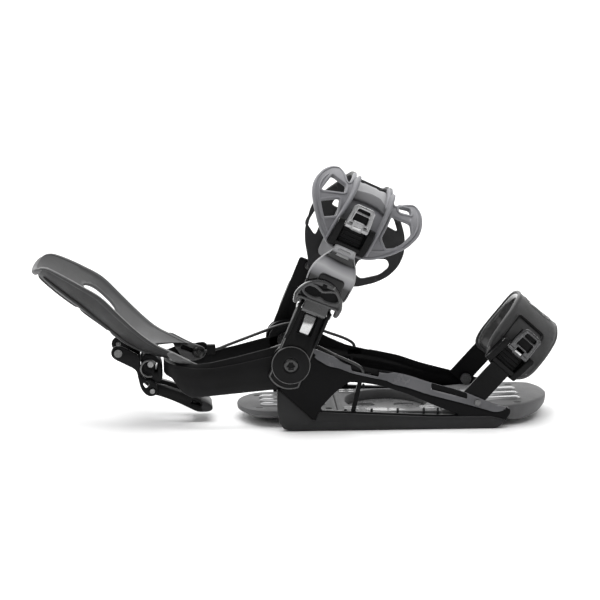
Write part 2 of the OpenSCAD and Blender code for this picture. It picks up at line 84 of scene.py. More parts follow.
def make_floor():
    mesh = bpy.data.meshes.new("floor")
    half = 6.0
    mesh.from_pydata([(-half, -half, 0), (half, -half, 0), (half, half, 0), (-half, half, 0)], [],
                     [(0, 1, 2, 3)])
    floor = bpy.data.objects.new("floor", mesh)
    scene.collection.objects.link(floor)
    material, tree, shader = new_material("floor_white")
    wired(tree, shader,
          {"Base Color": (0.93, 0.93, 0.93, 1), "Roughness": 0.9, "Specular IOR Level": 0.1}, {})
    mesh.materials.append(material)
    floor.location.z = -0.0003


def area_light(name, at, aim, size, power):
    data = bpy.data.lights.new(name, "AREA")
    data.shape = "RECTANGLE"
    data.size = size[0]
    data.size_y = size[1]
    data.energy = power
    light = bpy.data.objects.new(name, data)
    scene.collection.objects.link(light)
    light.location = at
    light.rotation_euler = (Vector(at) - Vector(aim)).to_track_quat("Z", "Y").to_euler()


def make_lights():
    scene.view_settings.view_transform = "Standard"
    world = bpy.data.worlds.new("studio")
    world.use_nodes = True
    background = world.node_tree.nodes["Background"]
    wired(world.node_tree, background, {"Color": (1, 1, 1, 1), "Strength": 0.30}, {})
    scene.world = world
    aim = (-0.09, 0, 0.1)
    area_light("sky", (-0.1, 1.7, 2.6), (-0.1, 1.3, 0), (6.0, 5.0), 210)
    area_light("back_wall", (-0.1, 5.2, 1.2), (-0.1, 0, 0.2), (7.0, 2.4), 110)
    area_light("overhead", (-0.15, -0.15, 1.3), aim, (1.1, 0.5), 5.5)
    area_light("key", (-0.8, -1.1, 0.9), aim, (0.5, 0.4), 2.0)


# ---------- materials ----------


def new_material(name="look"):
    material = bpy.data.materials.new(name)
    material.use_nodes = True
    tree = material.node_tree
    return material, tree, tree.nodes["Principled BSDF"]


def wired(tree, node, values, links):
    """Sets a node's plain inputs and joins its linked ones."""
    for socket, value in values.items():
        node.inputs[socket].default_value = value
    for socket, output in links.items():
        tree.links.new(output, node.inputs[socket])
    return node


def added(tree, kind, values, links):
    return wired(tree, tree.nodes.new("ShaderNode" + kind), values, links)


def coordinates(tree):
    return tree.nodes.new("ShaderNodeTexCoord").outputs["Object"]


def noise(tree, scale, detail=3.0, rough=0.55, at=None):
    return added(tree, "TexNoise", {"Scale": scale, "Detail": detail, "Roughness": rough},
                 {"Vector": at or coordinates(tree)}).outputs["Fac"]


def cells(tree, scale, feature="DISTANCE_TO_EDGE"):
    node = added(tree, "TexVoronoi", {"Scale": scale}, {"Vector": coordinates(tree)})
    node.feature = feature
    return node.outputs["Distance"]


def ranged(tree, value, low, high, out_low, out_high):
    limits = {"From Min": low, "From Max": high, "To Min": out_low, "To Max": out_high}
    return added(tree, "MapRange", limits, {"Value": value}).outputs["Result"]


def uneven(tree, low, high, *grain):
    """A value that drifts between low and high with a noise of that grain."""
    return ranged(tree, noise(tree, *grain), 0.3, 0.7, low, high)


def two_colours(tree, value, dark, light):
    node = added(tree, "ValToRGB", {}, {"Fac": value})
    for element, colour, position in zip(node.color_ramp.elements, (dark, light), (0.3, 0.7)):
        element.color = (*colour, 1)
        element.position = position
    return node.outputs["Color"]


def worn(tree, colour, edge_colour, low=0.53, high=0.62):
    """colour with the convex edges rubbed towards edge_colour."""
    pointiness = tree.nodes.new("ShaderNodeNewGeometry").outputs["Pointiness"]
    mix = tree.nodes.new("ShaderNodeMix")
    mix.data_type = "RGBA"
    wired(tree, mix, {"B": (*edge_colour, 1)},
          {"Factor": ranged(tree, pointiness, low, high, 0.0, 0.55), "A": colour})
    return mix.outputs["Result"]


def bump(tree, height, depth, below=None):
    """A bump of that depth in metres, on top of another bump if one is given."""
    links = {"Height": height}
    if below is not None:
        links["Normal"] = below
    return added(tree, "Bump", {"Strength": 1.0, "Distance": depth}, links).outputs["Normal"]


def moulded(dark, light, rough, grain=2600, depth=0.00004, coat=0.0, edge=None, spread=0.08,
            specular=0.5, sheen=0.0):
    """Injection-moulded plastic or rubber: spark-eroded grain, faint flow marks, rubbed edges."""
    material, tree, shader = new_material()
    colour = two_colours(tree, noise(tree, 22, 4), dark, light)
    if edge:
        colour = worn(tree, colour, edge)
    wired(tree, shader,
          {"Coat Weight": coat, "Coat Roughness": 0.06, "Specular IOR Level": specular,
           "Sheen Weight": sheen},
          {"Base Color": colour, "Normal": bump(tree, noise(tree, grain, 2), depth),
           "Roughness": uneven(tree, rough - spread, rough + spread, 60, 5, 0.65)})
    return material


def painted_reflection_bands(at, lean, stops, rough):
    """Glossy plastic with reflections painted into its colour as light and dark bands. stops are
    (millimetres, painted brightness) pairs counted from (x, z) = at, up a part that leans by `lean` degrees."""
    material, tree, shader = new_material()
    axis = (math.sin(math.radians(lean)), 0, math.cos(math.radians(lean)))
    across = wired(tree, tree.nodes.new("ShaderNodeVectorMath"), {1: axis}, {0: coordinates(tree)})
    across.operation = "DOT_PRODUCT"
    zero = (at[0] * axis[0] + at[1] * axis[2]) * MM
    low, high = stops[0][0], stops[-1][0]
    waviness = uneven(tree, -0.0012, 0.0012, 35, 1)
    place = added(tree, "Math", {}, {0: across.outputs["Value"], 1: waviness}).outputs[0]
    share = ranged(tree, place, zero + low * MM, zero + high * MM, 0, 1)
    ramp_node = added(tree, "ValToRGB", {}, {"Fac": share})
    elements = ramp_node.color_ramp.elements
    painted_reflection_tones = [((h - low) / (high - low), (*grey(v, 0.01 * min(1, v * 5)), 1)) for h, v in stops]
    elements[0].color = painted_reflection_tones[0][1]
    elements[1].color = painted_reflection_tones[-1][1]
    for at_share, tone in painted_reflection_tones[1:-1]:
        elements.new(at_share).color = tone
    wired(tree, shader, {"Coat Weight": 0.5, "Coat Roughness": 0.05, "Specular IOR Level": 0.3},
          {"Base Color": ramp_node.outputs["Color"],
           "Roughness": uneven(tree, rough - 0.04, rough + 0.04, 60, 5, 0.65)})
    return material


def metal(dark, light, rough, brushed=(900, 60, 900)):
    """Turned or brushed metal: fine streaks in one direction and faint smudges."""
    material, tree, shader = new_material()
    mapping = added(tree, "Mapping", {"Scale": brushed}, {"Vector": coordinates(tree)})
    streaks = noise(tree, 1.0, 3, 0.5, mapping.outputs["Vector"])
    wired(tree, shader, {"Metallic": 1.0},
          {"Base Color": two_colours(tree, streaks, dark, light),
           "Roughness": uneven(tree, rough - 0.08, rough + 0.1, 90, 4),
           "Normal": bump(tree, streaks, 0.00002)})
    return material


def leather(dark, light):
    """Grained synthetic leather: pebble cells with fine creases."""
    material, tree, shader = new_material()
    fine = bump(tree, noise(tree, 3500, 3), 0.00003)
    colour = two_colours(tree, noise(tree, 45, 4), dark, light)
    wired(tree, shader, {"Specular IOR Level": 0.45},
          {"Base Color": worn(tree, colour, grey(0.22)), "Roughness": uneven(tree, 0.42, 0.58, 80, 4),
           "Normal": bump(tree, cells(tree, 900), 0.00012, fine)})
    return material


def foam(dark, light):
    """Closed-cell foam skin: small pits and a soft sheen."""
    material, tree, shader = new_material()
    colour = two_colours(tree, noise(tree, 60, 5), dark, light)
    wired(tree, shader, {"Sheen Weight": 0.15},
          {"Base Color": worn(tree, colour, light), "Roughness": uneven(tree, 0.62, 0.8, 120, 4),
           "Normal": bump(tree, cells(tree, 1500, "F1"), 0.0001)})
    return material


def weave(dark, light):
    """Woven lining: crossed threads half a millimetre apart."""
    material, tree, shader = new_material()
    threads = {}
    for number, axis in enumerate("XZ"):
        wave = added(tree, "TexWave", {"Scale": 600, "Distortion": 0.6}, {"Vector": coordinates(tree)})
        wave.bands_direction = axis
        threads[number] = wave.outputs["Fac"]
    both = added(tree, "Math", {}, threads)
    both.operation = "MAXIMUM"
    wired(tree, shader, {"Roughness": 0.85, "Sheen Weight": 0.3},
          {"Base Color": two_colours(tree, both.outputs[0], dark, light),
           "Normal": bump(tree, both.outputs[0], 0.00015)})
    return material


def grey(v, tint=0.0):
    return (v, v, v + tint)


LOOK = {
    "rail_gloss": moulded(grey(0.0025), grey(0.004, 0.0006), 0.20, 1400, 0.000006, 0.04, spread=0.06,
                          edge=grey(0.02), specular=0.05),
    # the sloping top band of the rails is painted a lighter grey with a strong coat, a painted highlight of
    # the lights above; its rubbed edges are wear
    "rail_slope_painted_highlight": moulded(grey(0.075, 0.004), grey(0.13, 0.008), 0.24, 1400, 0.000006, 0.6, spread=0.06,
                          edge=grey(0.45)),
    "loop_satin": moulded(grey(0.006), grey(0.009, 0.0008), 0.42, 2600, 0.00003, edge=grey(0.06),
                          specular=0.1),
    "black_plastic": moulded(grey(0.004), grey(0.0065, 0.0006), 0.36, 2400, 0.00004, edge=grey(0.04),
                             specular=0.09),
    "skirt_satin": moulded(grey(0.014), grey(0.019, 0.0015), 0.45, 2600, 0.00004, edge=grey(0.06),
                           specular=0.25),
    "footbed_foam": foam(grey(0.085), grey(0.115, 0.003)),
    "highback_grey": moulded(grey(0.072), grey(0.088, 0.002), 0.56, 2200, 0.00006, edge=grey(0.17)),
    "highback_dark": moulded(grey(0.019), grey(0.026, 0.001), 0.55, 2200, 0.00006, edge=grey(0.08),
                             specular=0.3),
    "pad_foam": foam(grey(0.10), grey(0.14, 0.003)),
    "strap_grey": moulded(grey(0.150, 0.010), grey(0.185, 0.013), 0.55, 1800, 0.00005,
                          edge=grey(0.34, 0.02), sheen=0.1),
    "strap_dark": leather(grey(0.035), grey(0.055, 0.001)),
    "lining": weave(grey(0.012), grey(0.05, 0.002)),
    "lever_silver": metal(grey(0.30), grey(0.45, 0.01), 0.32),
    "shield_gloss": moulded(grey(0.003), grey(0.005, 0.001), 0.13, 1200, 0.000005, 0.2, spread=0.04,
                            edge=grey(0.30), specular=0.2),
    # the shield's front: the reflections of the lights are painted into its colour as light and dark bands
    # up the leaning shield
    "shield_painted_reflection": painted_reflection_bands((-99.6, 68.5), 25,
                           [(76, 0.004), (91, 0.004), (96, 0.22), (103, 0.42), (110, 0.20), (113, 0.006),
                           (119, 0.006), (121, 0.28), (130, 0.42)], 0.14),
    "lever_grey": moulded(grey(0.013), grey(0.020, 0.001), 0.20, 2000, 0.00002, 0.5, edge=grey(0.22),
                          specular=0.35),
    "toe_lever": metal(grey(0.07), grey(0.13, 0.004), 0.26),
    "steel": metal(grey(0.50), grey(0.68), 0.24),
    "spring_steel": metal(grey(0.45), grey(0.60), 0.16),
    "dark_steel": metal(grey(0.10), grey(0.17), 0.30),
    "footbed_rib": moulded(grey(0.16), grey(0.20, 0.004), 0.28, 1800, 0.00002, 0.5),
    "edge_grey": moulded(grey(0.085), grey(0.12), 0.3, 2400, 0.00002, 0.2),
    "edge_silver": moulded(grey(0.24), grey(0.32, 0.01), 0.35, 2400, 0.00002),
    "cap_bolt": metal(grey(0.035), grey(0.07), 0.22),
    "dark_bolt": metal(grey(0.16), grey(0.26), 0.26),
    "cable_black": moulded(grey(0.008), grey(0.014), 0.33, 3200, 0.00005, 0.2),
    "strap_visor": moulded(grey(0.075, 0.005), grey(0.095, 0.006), 0.5, 1800, 0.00005, edge=grey(0.2)),
    "strap_far": moulded(grey(0.012), grey(0.019, 0.002), 0.5, 1800, 0.00005, edge=grey(0.06),
                         specular=0.3),
    "pad_light": foam(grey(0.22, 0.005), grey(0.30, 0.01)),
    "toe_leather": leather(grey(0.030), grey(0.047, 0.001)),
    "toe_dome": moulded(grey(0.035), grey(0.05), 0.24, 1400, 0.00003, 0.4),
    "cable_steel": metal(grey(0.05), grey(0.11), 0.36, (1500, 1500, 300)),
}
for look_name, look in LOOK.items():
    look.name = look_name

make_camera()
make_floor()
make_lights()

# ---------- mesh tools ----------


def rounded(points, radius, steps=5):
    """A closed outline with each corner turned into a curve that starts radius before it."""
    out = []
    count = len(points)
    for i, corner in enumerate(points):
        r = radius[i] if isinstance(radius, (list, tuple)) else radius
        corner = Vector(corner)
        before = Vector(points[i - 1]) - corner
        after = Vector(points[(i + 1) % count]) - corner
        a = corner + before.normalized() * min(r, before.length * 0.48)
        b = corner + after.normalized() * min(r, after.length * 0.48)
        for k in range(steps + 1):
            t = k / steps
            out.append(tuple(a * (1 - t) ** 2 + corner * 2 * t * (1 - t) + b * t * t))
    return out


def spline(t, p0, p1, p2, p3):
    """Catmull-Rom between p1 and p2."""
    return 0.5 * (2 * p1 + (p2 - p0) * t + (2 * p0 - 5 * p1 + 4 * p2 - p3) * t * t
                  + (3 * p1 - p0 - 3 * p2 + p3) * t ** 3)


def smooth(points, steps=6):
    """A closed Catmull-Rom curve through points."""
    out = []
    count = len(points)
    for i in range(count):
        four = [Vector(points[(i + k) % count]) for k in (-1, 0, 1, 2)]
        out += [tuple(spline(k / steps, *four)) for k in range(steps)]
    return out


def curve_through(points, steps=6):
    """An open Catmull-Rom curve through points of any length."""
    ends = [Vector(points[0]) * 2 - Vector(points[1]), *map(Vector, points),
            Vector(points[-1]) * 2 - Vector(points[-2])]
    out = []
    for i in range(1, len(ends) - 2):
        out += [spline(k / steps, *ends[i - 1:i + 3]) for k in range(steps)]
    out.append(Vector(points[-1]))
    return out


def box(x0, y0, x1, y1, r, steps=5):
    """A rounded rectangle."""
    return rounded([(x0, y0), (x1, y0), (x1, y1), (x0, y1)], r, steps)


def taper(half0, y0, half1, y1, r, steps=5):
    """A rounded shape centred on x 0, half0 to each side at y0 and half1 at y1."""
    return rounded([(-half0, y0), (half0, y0), (half1, y1), (-half1, y1)], r, steps)


def disc(at, r, steps=40):
    return [(at[0] + r * math.cos(a), at[1] + r * math.sin(a))
            for a in (math.tau * k / steps for k in range(steps))]


def plate(loops, depth, edge=0.8, steps=3):
    """A closed slab lying in x and y, from z 0 to depth, with rounded edges. The first loop is the
    outside and the others are holes. All in millimetres; returns a bmesh."""
    curve = bpy.data.curves.new("plate", "CURVE")
    curve.dimensions = "2D"
    curve.fill_mode = "BOTH"
    curve.extrude = depth / 2 - edge
    curve.bevel_depth = edge
    curve.bevel_resolution = steps - 1
    curve.offset = -edge
    for loop in loops:
        spline = curve.splines.new("POLY")
        spline.points.add(len(loop) - 1)
        for point, (x, y) in zip(spline.points, loop):
            point.co = (x, y, 0, 1)
        spline.use_cyclic_u = True
    obj = bpy.data.objects.new("plate", curve)
    scene.collection.objects.link(obj)
    depsgraph = bpy.context.evaluated_depsgraph_get()
    mesh = bpy.data.meshes.new_from_object(obj.evaluated_get(depsgraph))
    bpy.data.objects.remove(obj)
    bpy.data.curves.remove(curve)
    bm = bmesh.new()
    bm.from_mesh(mesh)
    bpy.data.meshes.remove(mesh)
    bmesh.ops.remove_doubles(bm, verts=bm.verts, dist=0.0005)
    bmesh.ops.translate(bm, verts=bm.verts, vec=(0, 0, depth / 2))
    return bm


def cut_grid(bm, steps):
    """Cuts a bmesh by planes square to x, y and z, steps apart, so that it can bend smoothly."""
    for axis, step in enumerate(steps):
        if not step:
            continue
        values = [v.co[axis] for v in bm.verts]
        position = math.floor(min(values) / step) * step + step
        while position < max(values):
            place, normal = Vector(), Vector()
            place[axis] = position
            normal[axis] = 1
            bmesh.ops.bisect_plane(bm, geom=bm.verts[:] + bm.edges[:] + bm.faces[:], dist=0.0005,
                                   plane_co=place, plane_no=normal)
            position += step


def bent(bm, where):
    """Moves every vertex of a bmesh to where(x, y, z)."""
    for v in bm.verts:
        v.co = Vector(where(*v.co))


def turned(profile, steps=48):
    """A body of revolution about z from a profile of (radius, z) points; its ends are closed only where the
    profile reaches radius 0.
    """
    bm = bmesh.new()
    rings = []
    for r, z in profile:
        if r < 1e-6:
            rings.append([bm.verts.new((0, 0, z))])
        else:
            rings.append([bm.verts.new((r * math.cos(a), r * math.sin(a), z))
                          for a in (math.tau * k / steps for k in range(steps))])
    for low, high in zip(rings, rings[1:]):
        for k in range(steps):
            n = (k + 1) % steps
            corners = [low[k % len(low)], low[n % len(low)], high[n % len(high)], high[k % len(high)]]
            corners = list(dict.fromkeys(corners))
            if len(corners) > 2:
                bm.faces.new(corners)
    return bm


def tube(path, radius, sides=12, closed_ends=True):
    """A tube along path; radius is a number or a function of the share of the way along."""
    bm = bmesh.new()
    path = [Vector(p) for p in path]
    rings = []
    side = None
    for i, p in enumerate(path):
        along = (path[min(i + 1, len(path) - 1)] - path[max(i - 1, 0)]).normalized()
        if side is None:
            side = along.orthogonal().normalized()
        side = (side - along * side.dot(along)).normalized()
        other = along.cross(side)
        r = radius(i / (len(path) - 1)) if callable(radius) else radius
        rings.append([bm.verts.new(p + r * (math.cos(a) * side + math.sin(a) * other))
                      for a in (math.tau * k / sides for k in range(sides))])
    for low, high in zip(rings, rings[1:]):
        for k in range(sides):
            bm.faces.new([low[k], low[(k + 1) % sides], high[(k + 1) % sides], high[k]])
    if closed_ends:
        bm.faces.new(rings[0][::-1])
        bm.faces.new(rings[-1])
    return bm


def spindle(r, power, least=0.03):
    """A tube's radius that stays near r and closes at both ends; a higher power closes later."""
    return lambda t: r * math.sqrt(max(least, 1 - (2 * t - 1) ** power))


def joined(*parts):
    """One bmesh from several."""
    whole = bmesh.new()
    for bm in parts:
        mesh = bpy.data.meshes.new("part")
        bm.to_mesh(mesh)
        bm.free()
        whole.from_mesh(mesh)
        bpy.data.meshes.remove(mesh)
    return whole


def painted(bm, index):
    for face in bm.faces:
        face.material_index = index
    return bm


def moved(bm, matrix):
    bmesh.ops.transform(bm, matrix=matrix, verts=bm.verts)
    return bm


def placed(bm, at, degrees=0, axis="X"):
    """Turned about an axis through the origin, then carried to `at`."""
    return moved(bm, Matrix.Translation(at) @ Matrix.Rotation(math.radians(degrees), 4, axis))


def standing(bm, y):
    """A plate drawn in x and z, stood up so that it starts at y and grows towards +Y."""
    return moved(bm, Matrix(((1, 0, 0, 0), (0, 0, 1, y), (0, 1, 0, 0), (0, 0, 0, 1))))


def facing(bm, x):
    """A plate drawn in y and z, stood up so that it starts at x and grows towards +X."""
    return moved(bm, Matrix(((0, 0, 1, x), (1, 0, 0, 0), (0, 1, 0, 0), (0, 0, 0, 1))))


def mirrored(bm):
    other = bm.copy()
    moved(other, Matrix.Diagonal((1, -1, 1, 1)))
    bmesh.ops.reverse_faces(other, faces=other.faces)
    return other


def leaning(at, angle):
    """The frame of a strap: origin at its pivot, z along the strap, x across it."""
    return Matrix.Translation((at[0], 0, at[1])) @ Matrix.Rotation(math.radians(angle), 4, "Y")


def piece(name, bm, looks, body, replaced=None, sharp=40):
    """Turns a bmesh in millimetres into a finished piece that rides on a body. It stands for the CAD
    nodes in `replaced`, or for the one that its own name gives without _look."""
    if replaced is None:
        replaced = [name.replace("_look", "")]
    bmesh.ops.recalc_face_normals(bm, faces=bm.faces)
    bmesh.ops.scale(bm, vec=(MM, MM, MM), verts=bm.verts)
    mesh = bpy.data.meshes.new(name)
    bm.to_mesh(mesh)
    bm.free()
    for polygon in mesh.polygons:
        polygon.use_smooth = True
    mesh.set_sharp_from_angle(angle=math.radians(sharp))
    looks = [looks] if isinstance(looks, str) else looks
    for look in looks:
        mesh.materials.append(LOOK[look])
    obj = bpy.data.objects.new(name, mesh)
    scene.collection.objects.link(obj)
    if body:
        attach(obj, body)
    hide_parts(*replaced)
    return obj


# ---------- profiled plates ----------


def area_of(loop):
    return 0.5 * sum(a[0] * b[1] - b[0] * a[1] for a, b in zip(loop, loop[1:] + loop[:1]))


def into_material(loop, is_hole):
    """The loop turned so that the material is on its left, and the unit vectors that point into it."""
    if (area_of(loop) > 0) == is_hole:
        loop = loop[::-1]
    inward = []
    for i, point in enumerate(loop):
        before = (Vector(point) - Vector(loop[i - 1])).normalized()
        after = (Vector(loop[(i + 1) % len(loop)]) - Vector(point)).normalized()
        normal = Vector((-before.y - after.y, before.x + after.x)) / 2
        inward.append(normal / max(normal.length_squared, 0.35))
    return loop, inward


def carved(loops, front, back, share=None, front_at_share=None):
    """A closed slab in x and y whose faces follow profiles of (inset, z), counted from its edge inwards.
    Where share(point) rises to 1, the outside loop's front turns into front_at_share."""
    bm = bmesh.new()
    last_edges = {"front": [], "back": []}
    for number, loop in enumerate(loops):
        loop, inward = into_material(list(loop), number > 0)
        weights = [share(p) if share and number == 0 else 0.0 for p in loop]
        rims = {}
        for side, profile in (("front", front), ("back", back)):
            rings = []
            for k, (inset, z) in enumerate(profile):
                ring = []
                for point, normal, w in zip(loop, inward, weights):
                    i2, z2 = front_at_share[k] if w and side == "front" else (inset, z)
                    reach = inset + (i2 - inset) * w
                    ring.append(bm.verts.new((point[0] + normal.x * reach, point[1] + normal.y * reach,
                                              z + (z2 - z) * w)))
                rings.append(ring)
            for low, high in zip(rings, rings[1:]):
                ribbon(bm, low, high)
            ring = rings[-1]
            last_edges[side] += [bm.edges.get((ring[i - 1], ring[i])) or bm.edges.new((ring[i - 1], ring[i]))
                                 for i in range(len(ring))]
            rims[side] = rings[0]
        ribbon(bm, rims["front"], rims["back"])
    for side, edges in last_edges.items():
        bmesh.ops.triangle_fill(bm, edges=edges, use_beauty=True, normal=(0, 0, 1))
    return bm


def ribbon(bm, low, high):
    for i in range(len(low)):
        bm.faces.new((low[i - 1], low[i], high[i], high[i - 1]))


def lofted(rings):
    """A closed skin over rings of points, capped at both ends."""
    bm = bmesh.new()
    rings = [[bm.verts.new(point) for point in ring] for ring in rings]
    for low, high in zip(rings, rings[1:]):
        ribbon(bm, low, high)
    bm.faces.new(rings[0][::-1])
    bm.faces.new(rings[-1])
    return bm


def arc(at, r, start, end, steps=10):
    angles = [math.radians(start + (end - start) * k / steps) for k in range(steps + 1)]
    return [(at[0] + r * math.cos(a), at[1] + r * math.sin(a)) for a in angles]


def lerp_table(table, x):
    """A value read from (x, value) pairs in rising order of x."""
    if x <= table[0][0]:
        return table[0][1]
    for (x0, v0), (x1, v1) in zip(table, table[1:]):
        if x <= x1:
            t = (x - x0) / (x1 - x0)
            return v0 + (v1 - v0) * t
    return table[-1][1]


def ramp(low, high, x):
    """0 below low, 1 above high, smooth between."""
    t = min(max((x - low) / (high - low), 0.0), 1.0)
    return t * t * (3 - 2 * t)


def solid_object(bm):
    mesh = bpy.data.meshes.new("solid")
    bmesh.ops.recalc_face_normals(bm, faces=bm.faces)
    bm.to_mesh(mesh)
    bm.free()
    obj = bpy.data.objects.new("solid", mesh)
    scene.collection.objects.link(obj)
    return obj


def cut_away(bm, *cutters):
    """bm less each of the cutters."""
    for cutter in cutters:
        body = solid_object(bm)
        tool = solid_object(cutter)
        modifier = body.modifiers.new("cut", "BOOLEAN")
        modifier.operation = "DIFFERENCE"
        modifier.object = tool
        modifier.solver = "EXACT"
        mesh = bpy.data.meshes.new_from_object(body.evaluated_get(bpy.context.evaluated_depsgraph_get()))
        bm = bmesh.new()
        bm.from_mesh(mesh)
        for used in (body.data, tool.data, mesh):
            bpy.data.meshes.remove(used)
    return bm


# ---------- the binding's main sizes, in millimetres ----------

PIVOT = (-99.6, 68.5)
LEAN = (-188, 58)
LEVER = (-235.5, 33.6)
TOE = (86, 26)
RAIL_OUT = 56
RAIL_T = 6
RAIL_LIFT = 4.5
SKIRT_OUT = 58
FLOOR_T = 6
LEDGE_Z = 3
HUB_R = 40.8
DISC_R = 45.8
FOOTBED_Z = 16
ARM_OUT = 49.7
BRACKET_IN = 56.3
BRACKET_OUT = 60.8
CAP_OUT = 64.7
BORE_R = 5.1                # the pivot bolts' bores
BRACKET_LEAN = 22
ANKLE_LEAN = 25
TOE_LEAN = 42
QUICK_PIN = (-65.5, 59.7)   # (y, z) of the quick lever's pin in the bracket's frame

FRAMES = {"bracket": leaning(PIVOT, BRACKET_LEAN), "ankle": leaning(PIVOT, ANKLE_LEAN),
          "toe": leaning(TOE, TOE_LEAN),
          "toe_ratchet": leaning(TOE, TOE_LEAN) @ Matrix.Translation((-5, 0, 0))}

# edge profiles of (inset, z) for carved()
SOFT_EDGE = [(0, 0.9), (0.3, 0.3), (0.9, 0)]
THIN_EDGE = [(0, 0.4), (0.1, 0.1), (0.4, 0)]
HIDDEN_BACK = [(0, 0.8), (0.1, 0.9), (0.2, 1.0)]


def soft_back(depth, edge=0.9):
    return [(0, depth - edge), (edge / 3, depth - edge / 3), (edge, depth)]


# ---------- chassis ----------


def rail_outline():
    """The rail seen from the side: an arc round the pivot, then the crown down to the toe."""
    top = [(-88, 87.5), (-73, 80), (-57, 70.5), (-41, 63), (-28, 59.3), (-14, 56), (15, 50), (40, 41.5),
           (76, 31.5), (104, 23), (117, 20)]
    heel = rounded([(105, 0), (-100, 0), (-107, 3), (-111, 9), (-112.5, 20), (-113, 44)], 3)[6:]
    toe = rounded([(104, 23), (119, 19), (119, 14), (114, 7), (105, 0), (60, 0)], 3)[6:-6]
    crown = [tuple(p) for p in curve_through(top, 5)]
    return heel + arc(PIVOT, 19.5, 205, 92, 16) + crown + toe


def rail_window(far):
    """The rail's window; the far rail's is lower, as the bar over it is deeper."""
    d = 9 if far else 0
    top = [(-58 + d / 3, 36 - d / 2), (-43, 48.5 - d), (-27, 47.5 - d), (-11, 44.5 - d), (14, 36.5 - d),
           (40 - d / 3, 25 - d / 2)]
    foot = [(67, 13.8), (40, 14.5), (0, 16.5), (-40, 18.7), (-68, 20)]
    return rounded([(-70, 22.5)] + top + foot, [2, 6, 4, 6, 6, 8, 8, 1.5, 8, 8, 8, 1.5])


def rail(far):
    """One rail, drawn on the -Y side. Its top edge slopes outwards, less so beside the cable's slot.
    The near rail's inner edge is lifted, as the photo shows; the far one's isn't."""
    def slope(point):
        x, z = point
        on_top = z > lerp_table([(-90, 70), (-60, 55), (0, 42), (60, 25), (110, 14)], x)
        beside_slot = ramp(-60, -48, x) * (1 - ramp(-6, 6, x))
        return (1 - 0.6 * beside_slot) * ramp(-82, -70, x) * (1 - ramp(104, 117, x)) if on_top else 0.0

    def lift(v):
        if far or slope((v.x, v.z + 3)) <= 0:
            return 0.0
        return RAIL_LIFT * ramp(-90, -45, v.x) * (1 - ramp(60, 110, v.x))

    plain = [(0, 1.3), (0.35, 0.4), (1.2, 0), (1.7, 0), (2.2, 0), (2.8, 0)]
    sloped = [(0, 4.9), (0.4, 4.1), (1.4, 3.4), (4.2, 1.5), (7.0, 0.35), (9.0, 0)]
    loops = [rail_outline(), rail_window(far)]
    body = standing(carved(loops, plain, soft_back(RAIL_T, 1.2), slope, sloped), -RAIL_OUT)
    for v in body.verts:
        v.co.z += lift(v.co) * ramp(0.4, 5, v.co.y + RAIL_OUT)
    body.normal_update()
    # faces on the crown that look up and outwards get the third material, painted lighter as the highlight
    # that the lights above put on the slope
    for face in body.faces:
        centre = face.calc_center_median()
        crown = slope((centre.x, centre.z + 3)) > 0.15
        face.material_index = 2 if crown and face.normal.y < -0.2 and face.normal.z > 0.25 else 0
    cable_slot = placed(plate([box(-40, -55.1, -12, -51, 1.8)], 22, 0.5), (0, 0, 51))
    front_slot = placed(plate([box(40, -53.8, 76, -51.4, 1.1)], 40, 0.3), (0, 0, 27))
    bore = standing(plate([disc(PIVOT, BORE_R)], 10, 0.2), -58)
    return cut_away(body, cable_slot, front_slot, bore)


def skirt():
    """The satin band along the foot of a rail's outer face."""
    outline = rounded([(-100, 0), (-107, 3), (-111, 9), (-112.5, 20), (-112.9, 41), (-109.5, 41), (-78, 11),
                       (-74.8, 11), (-72, 19), (40, 12.6), (100, 12), (114.5, 8), (110, 3), (105, 0)],
                      [3, 2, 2, 3, 1, 1, 1, 1, 1, 8, 4, 2, 2, 3])
    band = carved([outline], [(0, 1.3), (0.5, 0.5), (1.6, 0)], soft_back(2, 0.1))
    return painted(standing(band, -SKIRT_OUT), 1)


def floor_layer(hole_r, z0, z1):
    """A layer of the chassis floor from z0 to z1 with a round hole for the mounting disc."""
    slab = plate([box(-106, -50.5, 110, 50.5, 4), disc((0, 0), hole_r, 72)], z1 - z0, 0.2)
    return painted(placed(slab, (0, 0, z0)), 1)


def gusset(x):
    """A small rib between the floor and a rail's inner face."""
    rib = plate([rounded([(-50.2, 5), (-50.2, 20), (-48.6, 20), (-46.6, 7), (-46.6, 5)], 0.7)], 2.4, 0.5)
    return painted(facing(rib, x), 1)


def strut():
    """The slanted web that ties a rail's window across, beside the cable's anchor."""
    web = plate([rounded([(-40, 16), (-35.5, 16), (-28, 50), (-32.5, 50)], 0.8)], 3, 0.6)
    return standing(web, -52.5)


def make_chassis():
    def side(far):
        return joined(rail(far), skirt(), strut(), *[gusset(x) for x in (-46, -20, 6, 32, 46)])

    floor = joined(floor_layer(HUB_R, 0, LEDGE_Z), floor_layer(DISC_R, LEDGE_Z, FLOOR_T))
    piece("chassis_look", joined(side(False), mirrored(side(True)), floor),
          ["rail_gloss", "skirt_satin", "rail_slope_painted_highlight"], "base", sharp=32)


# ---------- footbeds ----------


def rib_bar(x0, x1, y, z, half, height):
    """A long rounded rib lying on a footbed."""
    layers = [(0.0, -0.6), (0.0, height * 0.25), (0.12, height * 0.6), (0.35, height * 0.88), (0.7, height)]
    outline = arc((x1 - half, y), half, -90, 90, 8) + arc((x0 + half, y), half, 90, 270, 8)
    centre_line = [(min(max(px, x0 + half), x1 - half), y) for px, _ in outline]
    return painted(lofted([[(p[0] + (c[0] - p[0]) * share, p[1] + (c[1] - p[1]) * share, z + dz)
                            for p, c in zip(outline, centre_line)] for share, dz in layers]), 1)


def screw_holes(xs):
    return [disc((x, y), 3.0, 20) for x in xs for y in (-30, 30)]


def small_slots(places):
    return [box(x - 3, y - 1.1, x + 3, y + 1.1, 1)
            for x, y in places]


